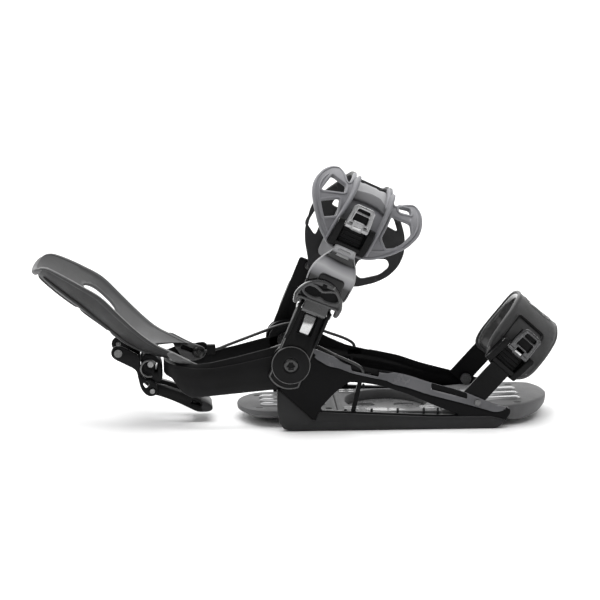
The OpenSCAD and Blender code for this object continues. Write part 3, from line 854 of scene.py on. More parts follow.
def make_footbeds():
    # heel: an oval rear that overhangs the chassis and slopes under
    rear_x, overhang = -118, 32.5
    rear = [(rear_x - overhang * math.cos(a), 38.5 * math.sin(a))
            for a in (math.radians(90 - 180 * k / 28) for k in range(29))]
    heel = rear + box(-112, -38.5, -52, 38.5, 2)[6:-6]

    def behind(point):
        return max(0.0, (rear_x - point[0]) / overhang)

    holes = screw_holes((-95, -60)) + small_slots([(-129, -24), (-129, 24)])
    sole = carved([heel] + holes, [(0, 4.6), (0.2, 4.0), (0.2, 4.0)], [(0, 8.2), (0.5, 9.5), (1.6, 10)],
                  behind, [(0.4, 5), (14, -2.5), (23.5, -6)])
    placed(sole, (0, 0, FLOOR_T))
    for v in sole.verts:
        if v.co.x > -113 and v.co.z < 10.6:
            v.co.z = FLOOR_T + 0.05
    ribs = [rib_bar(-128, -62, y, FOOTBED_Z, 5.6, 2.3) for y in (-15, 0, 15)]
    piece("heel_pad", joined(sole, *ribs), ["footbed_foam", "footbed_rib"], "base", ["heel_footbed"])

    # middle: a pad round the mounting disc, with long grooves
    middle = carved([taper(51.4, -46, 51.4, 46, 3), disc((0, 0), 42, 72)], [(0, 0.4), (0.2, 0.1), (0.6, 0)],
                    [(0, 8.6), (0.5, 9.6), (1.6, 10)])
    placed(middle, (0, 0, FLOOR_T))
    ribs = [rib_bar(x, x + 16, y, FOOTBED_Z, 2.4, 1.0) for x in (-46, 30) for y in (-38, -31, 31, 38)]
    piece("middle_pad", joined(middle, *ribs), ["footbed_foam", "footbed_rib"], "base", ["middle_footbed"])

    # toe: a thin pad that rises and rounds off past the chassis
    plan = [(118, -46.5), (126, -44.5), (136, -40), (149, -26), (159, -8), (164, 12), (163, 26), (159, 37),
            (150, 44.5), (138, 47.5), (124, 48.5), (118, 46.5)]
    nose = [tuple(p) for p in curve_through(plan, 5)]
    outline = nose + rounded([(110, 46.2), (52, 46), (52, -46), (110, -46.2)], 2)[6:-6]
    holes = screw_holes((62, 98)) + small_slots([(129, -33), (129, 36)])
    flat = carved([outline] + holes, [(0, 0.12), (0.6, 0.04), (1.6, 0)], [(0, 0.85), (0.6, 0.96), (1.8, 1)])
    cut_grid(flat, (6, 6, 0))
    under = [(52, 6.05), (119, 6.05), (120.5, 5), (128, 5), (150, 7), (160, 11), (164, 15)]
    over = [(52, 17), (85, 19.5), (135, 20.5), (150, 20.5), (162, 18.6), (164, 18)]
    bent(flat, lambda x, y, z: (x, y, lerp_table(under, x) * (1 - z) + lerp_table(over, x) * z))
    ribs = [rib_bar(60, 134, y, 0, 6.2, 2.3) for y in (-18, 0, 18)]
    for rib in ribs:
        bent(rib, lambda x, y, z: (x, y, z + lerp_table(over, x) - 0.3))
    piece("toe_pad", joined(flat, *ribs), ["footbed_foam", "footbed_rib"], "base", ["toe_footbed"])


# ---------- pivot caps ----------


def star(points, *radii):
    """A star whose points reach the first radius and whose hollows the second."""
    return [(radii[k % 2] * math.cos(math.pi * k / points), radii[k % 2] * math.sin(math.pi * k / points))
            for k in range(points * 2)]


def make_pivot_caps():
    base = BRACKET_OUT + 0.3
    depth = CAP_OUT - base
    shell = turned([(0, 0.2), (18.2, 0.2), (19, 0.8), (19, 1.6), (18.4, 2.1), (17, 2.35), (13.5, 2.95),
                    (9.2, depth - 0.1), (8.4, depth), (7.7, depth - 0.4), (7.5, 1.6), (0, 1.5)], 72)
    head = carved([disc((0, 0), 7.2), rounded(star(6, 3.6, 2.5), 0.5, 2)], [(0, 0), (0.1, 0), (0.2, 0)],
                  [(0, 1.0), (0.5, 1.5), (1.6, 1.75)])
    placed(head, (0, 0, 1.55))
    # a bead round the cap's edge; its lighter grey is a painted highlight along the rim
    rim = turned([(18.0, 2.2), (18.5, 1.8), (19.1, 1.9), (18.9, 2.3), (18.4, 2.45)], 72)
    cap = joined(shell, painted(head, 1), painted(rim, 2))
    placed(cap, (PIVOT[0], -base, PIVOT[1]), 90)
    piece("pivot_cap_look", joined(cap, mirrored(cap)), ["loop_satin", "cap_bolt", "edge_grey"], "base",
          ["pivot_caps"])


# ---------- cables ----------

# the cable's middle line, in (x, distance from the centre plane, z), from the loop's guide forwards
CABLE = [(-170, 41.5, 60.5), (-158, 41.5, 65), (-146, 41.5, 69.5), (-134, 41.5, 74), (-122, 41.5, 78.5),
         (-110, 41.7, 83), (-98, 42, 86.2), (-86, 42.8, 86.5), (-76, 44, 84), (-66, 46, 79.8),
         (-56, 48.6, 75), (-46, 51, 71), (-37, 52.6, 67), (-31, 53, 63.4), (-28.3, 53, 60), (-28, 53, 57)]
INSIDE_GUIDE = (-186, 41.5, 58)
CABLE_R = 1.6


def make_cables():
    for name, side in (("cable_near", -1), ("cable_far", 1)):
        route = [(x, y * side, z) for x, y, z in [INSIDE_GUIDE] + CABLE]
        cable = tube(curve_through(route, 4), CABLE_R, 14)
        obj = piece(name + "_look", cable, "cable_black", "")
        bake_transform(obj)


# ---------- heel loop ----------

# the loop's top and foot as (x, z), and how much lower the top is on the outside
LOOP_TOP = [(-226, 66), (-205, 66.5), (-192, 66.7), (-178, 68.3), (-152, 74), (-125, 81), (-108, 84.8),
            (-101, 83.5), (-97, 81)]
LOOP_FOOT = [(-226, 51), (-217, 50), (-212, 44), (-206, 37), (-197, 33), (-110, 41), (-106, 44), (-97, 59)]
LOOP_SLOPE = [(-222, 1.2), (-195, 3.5), (-170, 6), (-150, 7), (-105, 8.5)]
LOOP_END = -97              # where an arm's wall ends, inside its eye
CORNER_X = -186
CORNER_R = 38
LOOP_T = 5
FAR_ARM_DROP = 11


def loop_plan_point(s):
    """The loop's outer face in plan at s millimetres from the near eye, and the direction into the loop."""
    straight = LOOP_END - CORNER_X
    quarter = CORNER_R * math.pi / 2
    across = 2 * (ARM_OUT - CORNER_R)
    half = straight + quarter + across / 2
    side = -1 if s < half else 1
    s = min(s, 2 * half - s)
    if s < straight:
        return (LOOP_END - s, side * ARM_OUT), (0, -side)
    if s < straight + quarter:
        a = (s - straight) / CORNER_R
        return ((CORNER_X - CORNER_R * math.sin(a), side * (ARM_OUT - CORNER_R + CORNER_R * math.cos(a))),
                (math.sin(a), -side * math.cos(a)))
    return (CORNER_X - CORNER_R, side * (half - s)), (1, 0)


def loop_section(x, far):
    """(depth, z) points round the loop's wall at x, from the outside foot up; the far arm lies lower."""
    top, foot, slope = (lerp_table(t, x) for t in (LOOP_TOP, LOOP_FOOT, LOOP_SLOPE))
    top -= FAR_ARM_DROP * ramp(-184, -170, x) if far else 0
    lip = top - slope
    t = LOOP_T
    return [(0, foot + 1.2), (0, (foot + lip) / 2), (0, lip - 0.8), (0.35, lip - 0.1), (1.0, lip),
            (1.35, lip - 0.5), (1.8, lip - 0.4), (t - 1.6, top - 0.6), (t - 0.8, top), (t - 0.2, top - 0.5),
            (t, top - 1.2), (t, (foot + top) / 2), (t, foot + 1.2), (t - 0.9, foot), (0.9, foot)]


def make_heel_loop():
    length = 2 * (LOOP_END - CORNER_X + CORNER_R * math.pi / 2 + ARM_OUT - CORNER_R)
    steps = 170
    rings = []
    for k in range(steps + 1):
        (x, y), (dx, dy) = loop_plan_point(length * k / steps)
        rings.append([(x + dx * d, y + dy * d, z) for d, z in loop_section(x, y > 0)])
    eye = carved([disc(PIVOT, 17, 56), disc(PIVOT, BORE_R, 32)], SOFT_EDGE, soft_back(LOOP_T))
    standing(eye, -ARM_OUT)
    piece("heel_loop_look", joined(lofted(rings), eye, mirrored(eye)), "loop_satin", "heel_loop", sharp=35)

    bolt = turned([(0, -8.6), (4, -8.6), (4, 0), (6.5, 0.1), (6.5, 1.0), (5.6, 1.8), (2.4, 2.0),
                   (2.2, 1.0), (0, 1)], 32)
    placed(bolt, (LEAN[0], -40.1, LEAN[1]), -90)
    piece("lean_bolt_look", joined(bolt, mirrored(bolt)), "cap_bolt", "heel_loop", ["lean_bolts"])

    half_length, middle_z, half_height = 33, 58.5, 5.4
    rings = []
    for share in (k / 20 - 1 for k in range(41)):
        (x, y), (dx, dy) = loop_plan_point(length / 2 + share * half_length)
        fill = 1 - abs(share) ** 6
        ring = []
        for a in (math.tau * j / 16 for j in range(16)):
            d = LOOP_T + 1.6 + 1.5 * math.cos(a) * (0.3 + 0.7 * fill)
            z = middle_z + half_height * math.sin(a) * (0.25 + 0.75 * fill)
            ring.append((x + dx * d, y + dy * d, z))
        rings.append(ring)
    obj = piece("heel_cushion_look", lofted(rings), "lining", "heel_loop")


# ---------- highback ----------

# each station from the foot up: x and z of the spine, x and z of the rim, half width
HIGHBACK = [(-240, 72, -199, 68.5, 40.3), (-252, 75, -215, 77, 41), (-268, 84, -232, 86, 44),
            (-283, 97, -250, 101, 49), (-298, 108.5, -268, 119, 52), (-312, 119.5, -285, 136, 52),
            (-326, 130.5, -304, 147.5, 50), (-338, 141, -322, 157, 46), (-346, 149, -335, 162.5, 40),
            (-351, 154.5, -344, 162.5, 31)]
SHELL_T = 4
HINGE_OUT = 44.2
STEP = 16                   # flat distance between two stations


def highback_station(t):
    last = len(HIGHBACK) - 1
    i = min(max(int(t), 0), last - 1)
    u = t - i
    p0, p1, p2, p3 = (HIGHBACK[min(max(i + k, 0), last)] for k in (-1, 0, 1, 2))
    return [spline(u, *four) for four in zip(p0, p1, p2, p3)]


def on_highback(across, along, depth):
    """A point of the highback: across -50 to 50 from rim to rim, along from the foot, depth to the front."""
    v = across / 50
    sx, sz, wx, wz, width = highback_station(along / STEP)
    f = abs(v) ** 2.4
    flat = 1 - 0.8 * v * v
    through = Vector((0.64 * flat, -0.9 * v, 0.77 * flat)).normalized()
    return Vector((sx + (wx - sx) * f, v * width, sz + (wz - sz) * f)) + through * depth


def make_highback():
    top = 9 * STEP
    foot = [(-50, -7), (-42, -7), (-28, -11), (28, -11), (42, -7), (50, -7)]
    outline = rounded(foot + [(50, top), (-50, top)], [3, 5, 5, 5, 5, 3, 9, 9], 8)
    lens = [(x, station * STEP) for x, station in ((28, 3.1), (33, 3.05), (38, 3.5), (39.5, 4.3),
                                                   (38, 5.0), (34, 5.2), (30.5, 4.6), (28.5, 3.8))]
    loops = [outline, smooth(lens, 5), taper(17, 3.0 * STEP, 12, 4.4 * STEP, 6),
             taper(13, 1.25 * STEP, 17, 2.4 * STEP, 5)]
    back = [(0, 0.6), (0.5, -0.5), (1.6, -0.9), (3.0, -0.5), (3.8, 0.4)]
    front = [(0, SHELL_T - 0.9), (0.3, SHELL_T - 0.3), (0.9, SHELL_T), (1.8, SHELL_T), (2.4, SHELL_T - 0.5)]
    shell = carved(loops, back, front)
    for face in shell.faces:
        face.material_index = 1 if face.calc_center_median().z < 1.2 else 0
    cut_grid(shell, (3, 4, 0))
    bent(shell, on_highback)

    lip = tube([on_highback(x, top - 3.5 - (abs(x) / 46) ** 8 * 4, 0.2) for x in range(-46, 47, 2)],
               spindle(3.2, 6), 16)
    ribs = []
    for sign in (-1, 1):
        route = [on_highback(sign * (24 + 0.06 * y), y, -0.2) for y in range(6, 128, 4)]
        ribs.append(painted(tube(route, spindle(1.8, 8), 10), 1))
    spine = tube([on_highback(0, y, -0.3) for y in range(74, 132, 4)], spindle(2.4, 8))
    piece("highback_look", joined(shell, lip, painted(spine, 1), *ribs),
          ["highback_grey", "highback_dark"], "highback", sharp=38)

    outline = taper(24, 5.1 * STEP, 21, 7.9 * STEP, 6, 6)
    grooves = [taper(14, y, 14, y + 2, 0.9, 3) for y in (94, 105, 116)]
    pad = carved([outline] + grooves, [(0, 0.2), (0.1, 0.1), (0.2, 0)],
                 [(0, 1.2), (0.7, 2.5), (2.0, 3.4), (3.6, 3.9)])
    cut_grid(pad, (3, 3, 0))
    bent(pad, lambda x, y, z: on_highback(x, y, SHELL_T + 0.15 + z))
    obj = piece("highback_pad_look", pad, "pad_foam", "highback")

    outline = rounded([(-197, 48.5), (-187, 49.5), (-180.5, 54), (-181, 62), (-199, 69.5), (-216, 79),
                       (-222, 77), (-212, 66), (-205, 54)], [5, 6, 4, 4, 8, 4, 3, 6, 5])
    hole = rounded([(-207, 63), (-205, 67), (-191, 60.4), (-193, 56.2)], 2)
    hinge = standing(carved([outline, hole], SOFT_EDGE, soft_back(2.9)), -HINGE_OUT)
    pair = joined(hinge, mirrored(hinge))
    cut_grid(pair, (2.5, 0, 2.5))
    for v in pair.verts:        # below the loop's top the hinge follows the loop's corner inwards
        if v.co.x < CORNER_X:
            past = min(30, CORNER_X - v.co.x)
            wall = ARM_OUT - CORNER_R + math.sqrt((CORNER_R - LOOP_T) ** 2 - past ** 2) - 0.5
            v.co.y -= math.copysign(max(0, HINGE_OUT - wall) * (1 - ramp(64, 70, v.co.z)), v.co.y)
    piece("highback_hinge_look", pair, "highback_grey", "highback", ["highback_hinges"])


# ---------- lean block, cradle and lock lever ----------


def make_lever_parts():
    block = smooth([(-225.2, 46), (-225.6, 57), (-229, 65), (-234, 70), (-240, 70.8), (-246, 66),
                    (-246.2, 56), (-244, 47), (-236, 41.8), (-228.5, 41.5)], 5)
    slot = rounded([(-232, 61), (-229.8, 61.5), (-230.5, 52), (-232.7, 52)], 0.9, 3)
    body = standing(carved([block, disc((-237, 60), 3.1, 28), slot], [(0, 1.8), (0.6, 0.6), (1.8, 0)],
                           [(0, 32.2), (0.6, 33.4), (1.8, 34)]), -17)
    piece("lean_block_look", body, "black_plastic", "highback")

    outline = smooth([(-231, 31), (-236, 28), (-242, 30), (-247, 37), (-249.5, 47), (-252, 55),
                      (-262, 61), (-273, 67), (-276, 73), (-273, 79), (-266, 79.5), (-257, 75),
                      (-248.5, 69.5), (-246.8, 60), (-247, 50), (-242, 46), (-236, 44.5), (-231, 39)], 5)
    holes = [disc((-269, 73), 2.6, 24), disc(LEVER, 2.6, 24),
             smooth([(-244.5, 41), (-241, 43), (-238.5, 40), (-242, 36.5)], 4)]
    cheek = standing(carved([outline] + holes, [(0, 1.0), (0.3, 0.3), (1.0, 0)], soft_back(3.6)), -21)
    bail = tube([(x, -22.1, z) for x, z in arc((-238.5, 57), 8.2, 35, 290, 26)], 1.1)
    side = joined(cheek, painted(bail, 1))
    bridge = standing(carved([rounded([(-262, 64.5), (-252, 58.5), (-249.5, 62), (-259, 68)], 2)],
                             [(0, 0.8), (0.3, 0.3), (0.8, 0)], soft_back(36)), -18)
    piece("lever_cradle_look", joined(side, mirrored(side), bridge), ["black_plastic", "dark_steel"],
          "highback")

    outline = smooth([(-237, 39.3), (-231, 38.6), (-222, 36.6), (-206, 31), (-190, 24.6), (-179, 18.6),
                      (-175.4, 14), (-178, 10.8), (-184, 10), (-191, 10.6), (-200, 14.8), (-214, 21.6),
                      (-230, 27.6), (-238, 28.4), (-241, 33.6)], 4)
    notch = rounded([(-197, 19.5), (-188, 16.4), (-187, 18.6), (-196, 22)], 0.9, 3)
    body = carved([outline, disc(LEVER, 2.6, 24), notch], [(0, 1.6), (0.5, 0.6), (1.6, 0)],
                  [(0, 32.6), (0.5, 33.6), (1.6, 34.2)])
    standing(body, -17.1)
    gap = rounded([(-262, -9), (-198, -9), (-196, 0), (-198, 9), (-262, 9)], [1, 3, 5, 3, 1])
    body = cut_away(body, plate([gap], 60, 0.5))
    for face in body.faces:
        face.material_index = 1 if face.calc_center_median().x > -186 else 0
    piece("lock_lever_look", body, ["black_plastic", "skirt_satin"], "lock_lever")


# ---------- ankle brackets and the quick lever ----------


def bracket_outline():
    arm = rounded([(16.5, -10), (16.5, 84), (-16.5, 84), (-16.5, -10)], [0.5, 3, 3, 0.5])
    return arc((0, -2.5), 23, 224.2, 315.8, 22) + arm


def beads(loop, y, r, inset):
    """A raised line that follows a loop of (x, z) at depth y."""
    route = [(p[0] + n.x * inset, y, p[1] + n.y * inset) for p, n in zip(*into_material(loop, False))]
    return tube(route + route[:1], r, 8, False)


def bracket(windowed):
    """The near ankle bracket, whose window shows the spring, or the plain far one; drawn on -Y."""
    holes = [disc((0, 0), BORE_R, 32)]
    wall = [(-66, 30), (-60, 24), (-60, 58), (-66, 54)]
    wall_corners = [4, 1, 1, 2]
    wall_holes = []
    if windowed:
        holes.append(taper(7.4, 33, 7.4, 55, 2.2))
        wall = [(-66, 31), (-60.4, 22), (-60.4, 62), (-62, 64), (-66.5, 64.3), (-70, 61.5), (-70, 53)]
        wall_corners = [4, 1, 1, 2, 3, 4, 4]
        wall_holes = [disc(QUICK_PIN, 2.3, 20)]
    face = carved([bracket_outline()] + holes, [(0, 1.2), (0.4, 0.3), (1.2, 0)],
                  soft_back(BRACKET_OUT - BRACKET_IN))
    parts = [standing(face, -BRACKET_OUT), painted(beads(bracket_outline(), -BRACKET_OUT, 0.7, 1.3), 1)]
    for side in (-1, 1):
        flange = carved([rounded(wall, wall_corners)] + wall_holes, [(0, 0.8), (0.25, 0.25), (0.8, 0)],
                        soft_back(3, 0.8))
        parts.append(facing(flange, side * 15 - 1.5))
    if windowed:
        parts.append(standing(plate([taper(9, 31, 9, 57, 1)], 0.8, 0.2), -BRACKET_IN - 0.9))
        for h in (66, 71, 76):
            rib = plate([taper(9, h - 1, 9, h + 1, 0.9)], 1.0, 0.4)
            parts.append(standing(rib, -BRACKET_OUT - 0.5))
    return joined(*parts)


def make_brackets():
    for name, bm in (("ankle_bracket_near_look", bracket(True)),
                     ("ankle_bracket_far_look", mirrored(bracket(False)))):
        piece(name, moved(bm, FRAMES["bracket"]), ["black_plastic", "edge_grey"], "ankle_strap")


def make_spring():
    """The bowed steel leaf seen through the near bracket's window."""
    foot, length, bow = 33, 20, 2.2
    leaf = standing(plate([taper(4.6, foot, 5.6, foot + length, 1)], 0.9, 0.25), -BRACKET_OUT + 1.5)
    cut_grid(leaf, (0, 0, 1.2))
    bent(leaf, lambda x, y, z: (x, y - bow * math.sin(math.pi * (z - foot) / length), z))
    moved(leaf, FRAMES["bracket"])
    piece("quick_lever_spring_look", leaf, "spring_steel", "ankle_strap")


def make_quick_lever():
    outline = rounded([(-23.5, 61), (-18.6, 61), (-18.6, 67.4), (18.6, 67.4), (18.6, 61), (23.5, 61)]
                      + arc((0, 67), 25, 6, 174, 30), [4, 2, 1, 1, 2, 4] + [0.2] * 31, 4)
    recess_top = [(-17, 78), (-12, 83), (-5, 81), (0, 79.5), (5, 81), (12, 83), (17, 78)]
    recess = smooth(recess_top + [(13, 75), (6, 74.4), (0, 76), (-6, 74.4), (-13, 75)], 4)
    face = standing(carved([outline, recess], [(0, 2.0), (0.5, 0.7), (1.8, 0), (2.6, 0.1), (3.2, 0.5)],
                           soft_back(5, 1.0)), -72)
    floor = standing(plate([taper(20, 71, 17, 87, 3)], 2.2, 0.3), -69.6)
    neck = standing(plate([taper(12.4, 59, 12.4, 73, 1.5)], 4.6, 0.8), -71.4)
    square = standing(plate([taper(2.2, 88.4, 2.2, 85, 0.5)], 0.8, 0.2), -72.3)
    barrel = turned([(2.3, -12.6), (3.9, -12.6), (4.4, -12.1), (4.4, 12.1), (3.9, 12.6), (2.3, 12.6)], 28)
    placed(barrel, (0, *QUICK_PIN), 90, "Y")
    whole = joined(face, painted(floor, 1), neck, painted(square, 1), barrel)
    piece("quick_lever_look", moved(whole, FRAMES["bracket"]), ["lever_grey", "black_plastic"],
          "quick_lever")

    pin = turned([(0, -18), (1.9, -18), (2.2, -17.7), (2.2, 17.7), (1.9, 18), (0, 18)], 24)
    for end in (-1, 1):
        head = turned([(0, 0), (3.2, 0), (3.4, 0.3), (3.0, 1.0), (1.2, 1.2), (1.0, 0.5), (0, 0.5)], 24)
        pin = joined(pin, placed(head, (0, 0, end * 16.7), 90 - 90 * end))
    placed(pin, (0, *QUICK_PIN), 90, "Y")
    piece("quick_lever_pin_look", moved(pin, FRAMES["bracket"]), "steel", "ankle_strap")


# ---------- arches: straps laid flat, then bent ----------


class Arch:
    """A strap's half ring: flat points are (across, along from the crown), z counts inwards."""

    def __init__(self, r, h0):
        self.r = r
        self.h0 = h0
        self.quarter = r * math.pi / 2

    def flat(self, across, height, side):
        rise = height - self.h0
        if rise <= 0:
            return (across, side * (self.quarter - rise))
        return (across, side * self.r * math.acos(min(1, rise / self.r)))

    def bend(self, x, s, depth):
        reach = self.r - depth
        side = math.copysign(1, s)
        if abs(s) <= self.quarter:
            a = abs(s) / self.r
            return (x, side * reach * math.sin(a), self.h0 + reach * math.cos(a))
        return (x, side * reach, self.h0 - (abs(s) - self.quarter))

    def outline(self, points, side):
        return [self.flat(x, h, side) for x, h in points]


ANKLE = Arch(54, 137)
TOE_ARCH = Arch(46, 60)


def fin(x_low, x_high, outline):
    """An upright web beside the ratchet, drawn in y and z, that leans across from x_low to x_high."""
    web = carved([outline], SOFT_EDGE, soft_back(3, 0.9))
    facing(web, -1.5)
    for v in web.verts:
        v.co.x += x_low + (x_high - x_low) * ramp(126, 190, v.co.z)
    return web


def make_ankle_strap():
    near_left = [(-17, 122), (-33, 135), (-47, 154), (-53, 165), (-54.5, 175), (-50, 184), (-42, 189.3),
                 (-33, 190.8), (-27, 189.5), (-20.5, 182.5)]
    far_left = [(-18, 184), (-22, 170), (-30, 153), (-34, 137), (-30, 113), (-24, 100), (-12, 83), (-10, 74)]
    far_right = [(14, 72), (43, 78), (60, 91), (69, 102), (74, 115), (74, 130), (67, 147), (53, 163),
                 (37, 177), (28, 186)]
    near_right = [(27.5, 184), (31, 181), (40, 186), (50, 188.6), (58, 185), (62.5, 177), (63, 166),
                  (56, 151), (43, 137), (29, 126), (17, 122)]
    outline = (ANKLE.outline(near_left, -1) + [(-18, -16), (-16.5, 0)] + ANKLE.outline(far_left, 1)
               + ANKLE.outline(far_right, 1) + [(27, 0), (27, -16)] + ANKLE.outline(near_right, -1))
    outline = rounded(outline, 6, 4)
    notch = rounded([(-11.5, 26), (20.5, 26), (21.5, -42), (-14.5, -42)], 3, 4)
    near_holes = [[(-44.5, 168.5), (-38.5, 184), (-22.5, 181), (-21.5, 174.5)],
                  [(-42, 158.5), (-24.5, 168), (-21, 152.5), (-33, 146)],
                  [(30.5, 172.5), (50, 173), (54.5, 165), (48, 149), (37, 142), (28.5, 150), (30, 165)],
                  [(34.5, 182.3), (46, 184), (48.5, 180), (36, 178.3)]]
    far_holes = [[(-30, 118), (-28, 136), (-18, 132), (-17, 110)],
                 [(34, 92), (34, 106), (60, 118), (66, 112), (60, 100), (44, 88)],
                 [(-16, 146), (-14, 158), (10, 158), (8, 146)],
                 [(38, 150), (36, 166), (48, 160), (58, 148)]]
    holes = [rounded(ANKLE.outline(h, -1), 2.4, 4) for h in near_holes]
    holes += [rounded(ANKLE.outline(h, 1), 4, 4) for h in far_holes]
    out = [(0, 0.6), (0.4, -0.5), (1.2, -0.9), (2.3, -0.8), (2.8, 0.1)]
    body = carved([outline, notch] + holes, out, [(0, 3.2), (0.3, 3.7), (0.8, 4)])
    cut_grid(body, (7, 2.5, 0))
    bent(body, ANKLE.bend)
    for face in body.faces:
        face.material_index = 1 if face.calc_center_median().y > -2 else 0
    inner_edge = [(-22, 186), (-37, 180), (-46, 168), (-50, 150)]
    left = [(-50.5, 126), (-54.5, 126), (-58, 142), (-58.5, 156), (-57.5, 170), (-54, 182), (-48, 191),
            (-41, 196), (-35, 195)]
    right = [(-50.5, 126), (-54.5, 126), (-58, 140), (-58.5, 154), (-57.5, 168), (-53, 180), (-46, 189),
             (-38, 193), (-33, 192)]
    fins = joined(fin(-21.5, -14.5, rounded(left + inner_edge, 3, 3)),
                  fin(22, 24, rounded(right + inner_edge, 3, 3)))
    visor = [(-17, 171), (-15.5, 176), (-12, 179), (4, 181.2), (14, 180.5), (21, 176.5), (22.5, 169),
             (14, 171.8), (2, 172.6), (-9, 171.6)]
    cross_bar = carved([rounded(ANKLE.outline(visor, -1), 2, 3)], [(0, -1.8), (0.4, -2.9), (1.2, -3.2)],
                       [(0, 1.6), (0.3, 2.0), (0.6, 2.2)])
    cut_grid(cross_bar, (3, 2, 0))
    bent(cross_bar, ANKLE.bend)
    ridges = []
    for line in ([(-22, 134), (-36, 150), (-46, 166), (-47, 176), (-42, 184)],
                 [(24, 134), (40, 142), (54, 158), (58, 172), (53, 184)]):
        route = curve_through([ANKLE.bend(*point, -0.1) for point in ANKLE.outline(line, -1)], 6)
        ridges.append(tube(route, spindle(1.0, 8, 0.05), 10))
    whole = joined(body, fins, painted(cross_bar, 2), *ridges)
    moved(whole, FRAMES["ankle"])
    piece("ankle_strap_look", whole, ["strap_grey", "strap_far", "strap_visor"], "ankle_strap", sharp=42)

    pad_loop = box(-9, ANKLE.flat(0, 134, -1)[1], 24, ANKLE.flat(0, 94, 1)[1], 8, 6)
    pad = carved([pad_loop], [(0, 7.4), (0.4, 6.4), (2.0, 5.7), (4.0, 5.5)],
                 [(0, 7.8), (0.8, 8.2), (3.0, 8.4), (6, 8.5)])
    cut_grid(pad, (4, 3, 0))
    for v in pad.verts:
        channel = sum(math.exp(-((v.co.x - x) / 1.2) ** 2) for x in (6, 16, -4))
        v.co.z += 0.9 * channel if v.co.z < 6.8 else -0.6 * channel
    bent(pad, ANKLE.bend)
    obj = piece("ankle_pad_look", moved(pad, FRAMES["ankle"]), "pad_light", "ankle_strap")


def make_shield():
    def surface(x, h, depth):
        y = -65.8 + 4.4 * ramp(95, 115, h)
        crown = 1.6 * (x / 24) ** 2
        return (x, y + depth + crown, h)

    outline = rounded([(-22, 76.5), (-24.5, 92), (-23.5, 102), (-17, 114), (-12, 121), (-11, 128.5),
                       (11, 128.5), (12, 121), (18, 113), (22.5, 102), (22.5, 92), (21, 76.5)],
                      [5, 6, 5, 5, 4, 2, 2, 4, 5, 5, 6, 5])
    body = carved([outline], [(0, 1.3), (0.3, 0.5), (1.0, 0), (1.8, 0), (2.3, 0.5), (3.2, 0.55)],
                  [(0, 1.9), (0.3, 2.2), (0.6, 2.3)])
    # the front face's rim gets edge_silver; the rest of the front gets the bands of painted reflection
    for face in body.faces:
        centre = face.calc_center_median()
        if centre.z < 1.0:
            edge_on = min(math.dist(centre.xy, p) for p in outline) < 1.5
            face.material_index = 1 if edge_on else 2
    cut_grid(body, (3, 3, 0))
    bent(body, surface)
    panel = carved([taper(14, 82, 13, 98, 4)], [(0, 0.5), (0.5, -0.2), (1.2, -0.35)], HIDDEN_BACK)
    cut_grid(panel, (3, 3, 0))
    bent(panel, surface)
    marks = []
    for h in (118, 122.5):
        mark = carved([taper(7, h, 6, h + 2.6, 1)], [(0, 0.5), (0.3, -0.3), (0.8, -0.5)], HIDDEN_BACK)
        bent(mark, surface)
        marks.append(painted(mark, 1))
    whole = joined(body, panel, *marks)
    piece("ladder_shield_look", moved(whole, FRAMES["ankle"]),
          ["shield_gloss", "edge_silver", "shield_painted_reflection"], "ankle_strap")


# ---------- ratchets ----------


def ratchet_base(name, frame_name, body_name, y, h0, h1, pin_y, pin_h):
    """The ratchet's tray on a strap whose outer face is y out, from height h0 to h1, with the webs that hold
    its pin.
    """
    floor = standing(carved([taper(20, h0, 20, h1, 3)], [(0, 0.5), (0.15, 0.15), (0.5, 0)],
                            soft_back(1.4, 0.3)), -y - 1.4)
    wall = rounded([(-y - 1, h0), (-y - 5.5, h0 + 1.5), (-y - 9, h0 + 9), (-pin_y - 3.4, pin_h - 3),
                    (-pin_y - 3, pin_h + 3), (-pin_y, pin_h + 4), (-y - 1, h1)], [1, 2, 3, 2, 2, 2, 1])
    webs = [facing(carved([wall, disc((-pin_y, pin_h), 2.1, 20)], SOFT_EDGE, soft_back(6.4)), x - 3.2)
            for x in (-16, 16)]
    bar = rounded([(-y - 6.5, h0 + 3), (-y - 7.8, h0 + 7.5), (-y - 5.4, h0 + 8.5), (-y - 4, h0 + 4)], 1)
    bridge = facing(carved([bar], THIN_EDGE, soft_back(26, 0.4)), -13)
    piece(name, moved(joined(floor, *webs, bridge), FRAMES[frame_name]), "black_plastic", body_name)


def ratchet_lever(name, frame_name, look, pin_y, pin_h, reach):
    """The ratchet's lever, a plate with two windows that reaches up from its pin."""
    top = pin_h + reach
    outline = rounded([(-12.3, pin_h - 2.5), (-12.3, pin_h + 8), (-9.7, top), (9.7, top), (12.3, pin_h + 8),
                       (12.3, pin_h - 2.5)], [1, 6, 3, 3, 6, 1])
    split = pin_h + (reach + 7) / 2
    notch = rounded([(-4.3, pin_h - 2), (-4.3, pin_h + 4.8), (4.3, pin_h + 4.8), (4.3, pin_h - 2)], 0.3, 2)
    holes = [taper(7.6, pin_h + 6, 7.1, split - 1, 1), taper(7, split + 1, 6, top - 3, 1.6), notch]
    face = carved([outline] + holes, [(0, 0.9), (0.25, 0.2), (0.8, 0), (1.3, 0), (1.6, 0.35)],
                  soft_back(2.5, 0.6))
    parts = [standing(face, -pin_y - 3.5)]
    wall = rounded([(-pin_y - 3, pin_h - 1), (-pin_y - 3, top - 2), (-pin_y + 1.6, top - 6),
                    (-pin_y + 2.4, pin_h + 3)], 1.2)
    for side in (-1, 1):
        parts.append(facing(carved([wall], THIN_EDGE, soft_back(2, 0.4)), side * 10.2 - 1))
        knuckle = turned([(2.1, -3.7), (3.2, -3.7), (3.5, -3.4), (3.5, 3.4), (3.2, 3.7), (2.1, 3.7)], 24)
        parts.append(placed(knuckle, (side * 8.4, -pin_y, pin_h), 90, "Y"))
    back = plate([taper(8.6, pin_h + 5.6, 7.6, top - 3.6, 1)], 0.6, 0.2)
    parts.append(painted(standing(back, -pin_y - 1.0), 1))
    piece(name + "_look", moved(joined(*parts), FRAMES[frame_name]), [look, "black_plastic"], name)


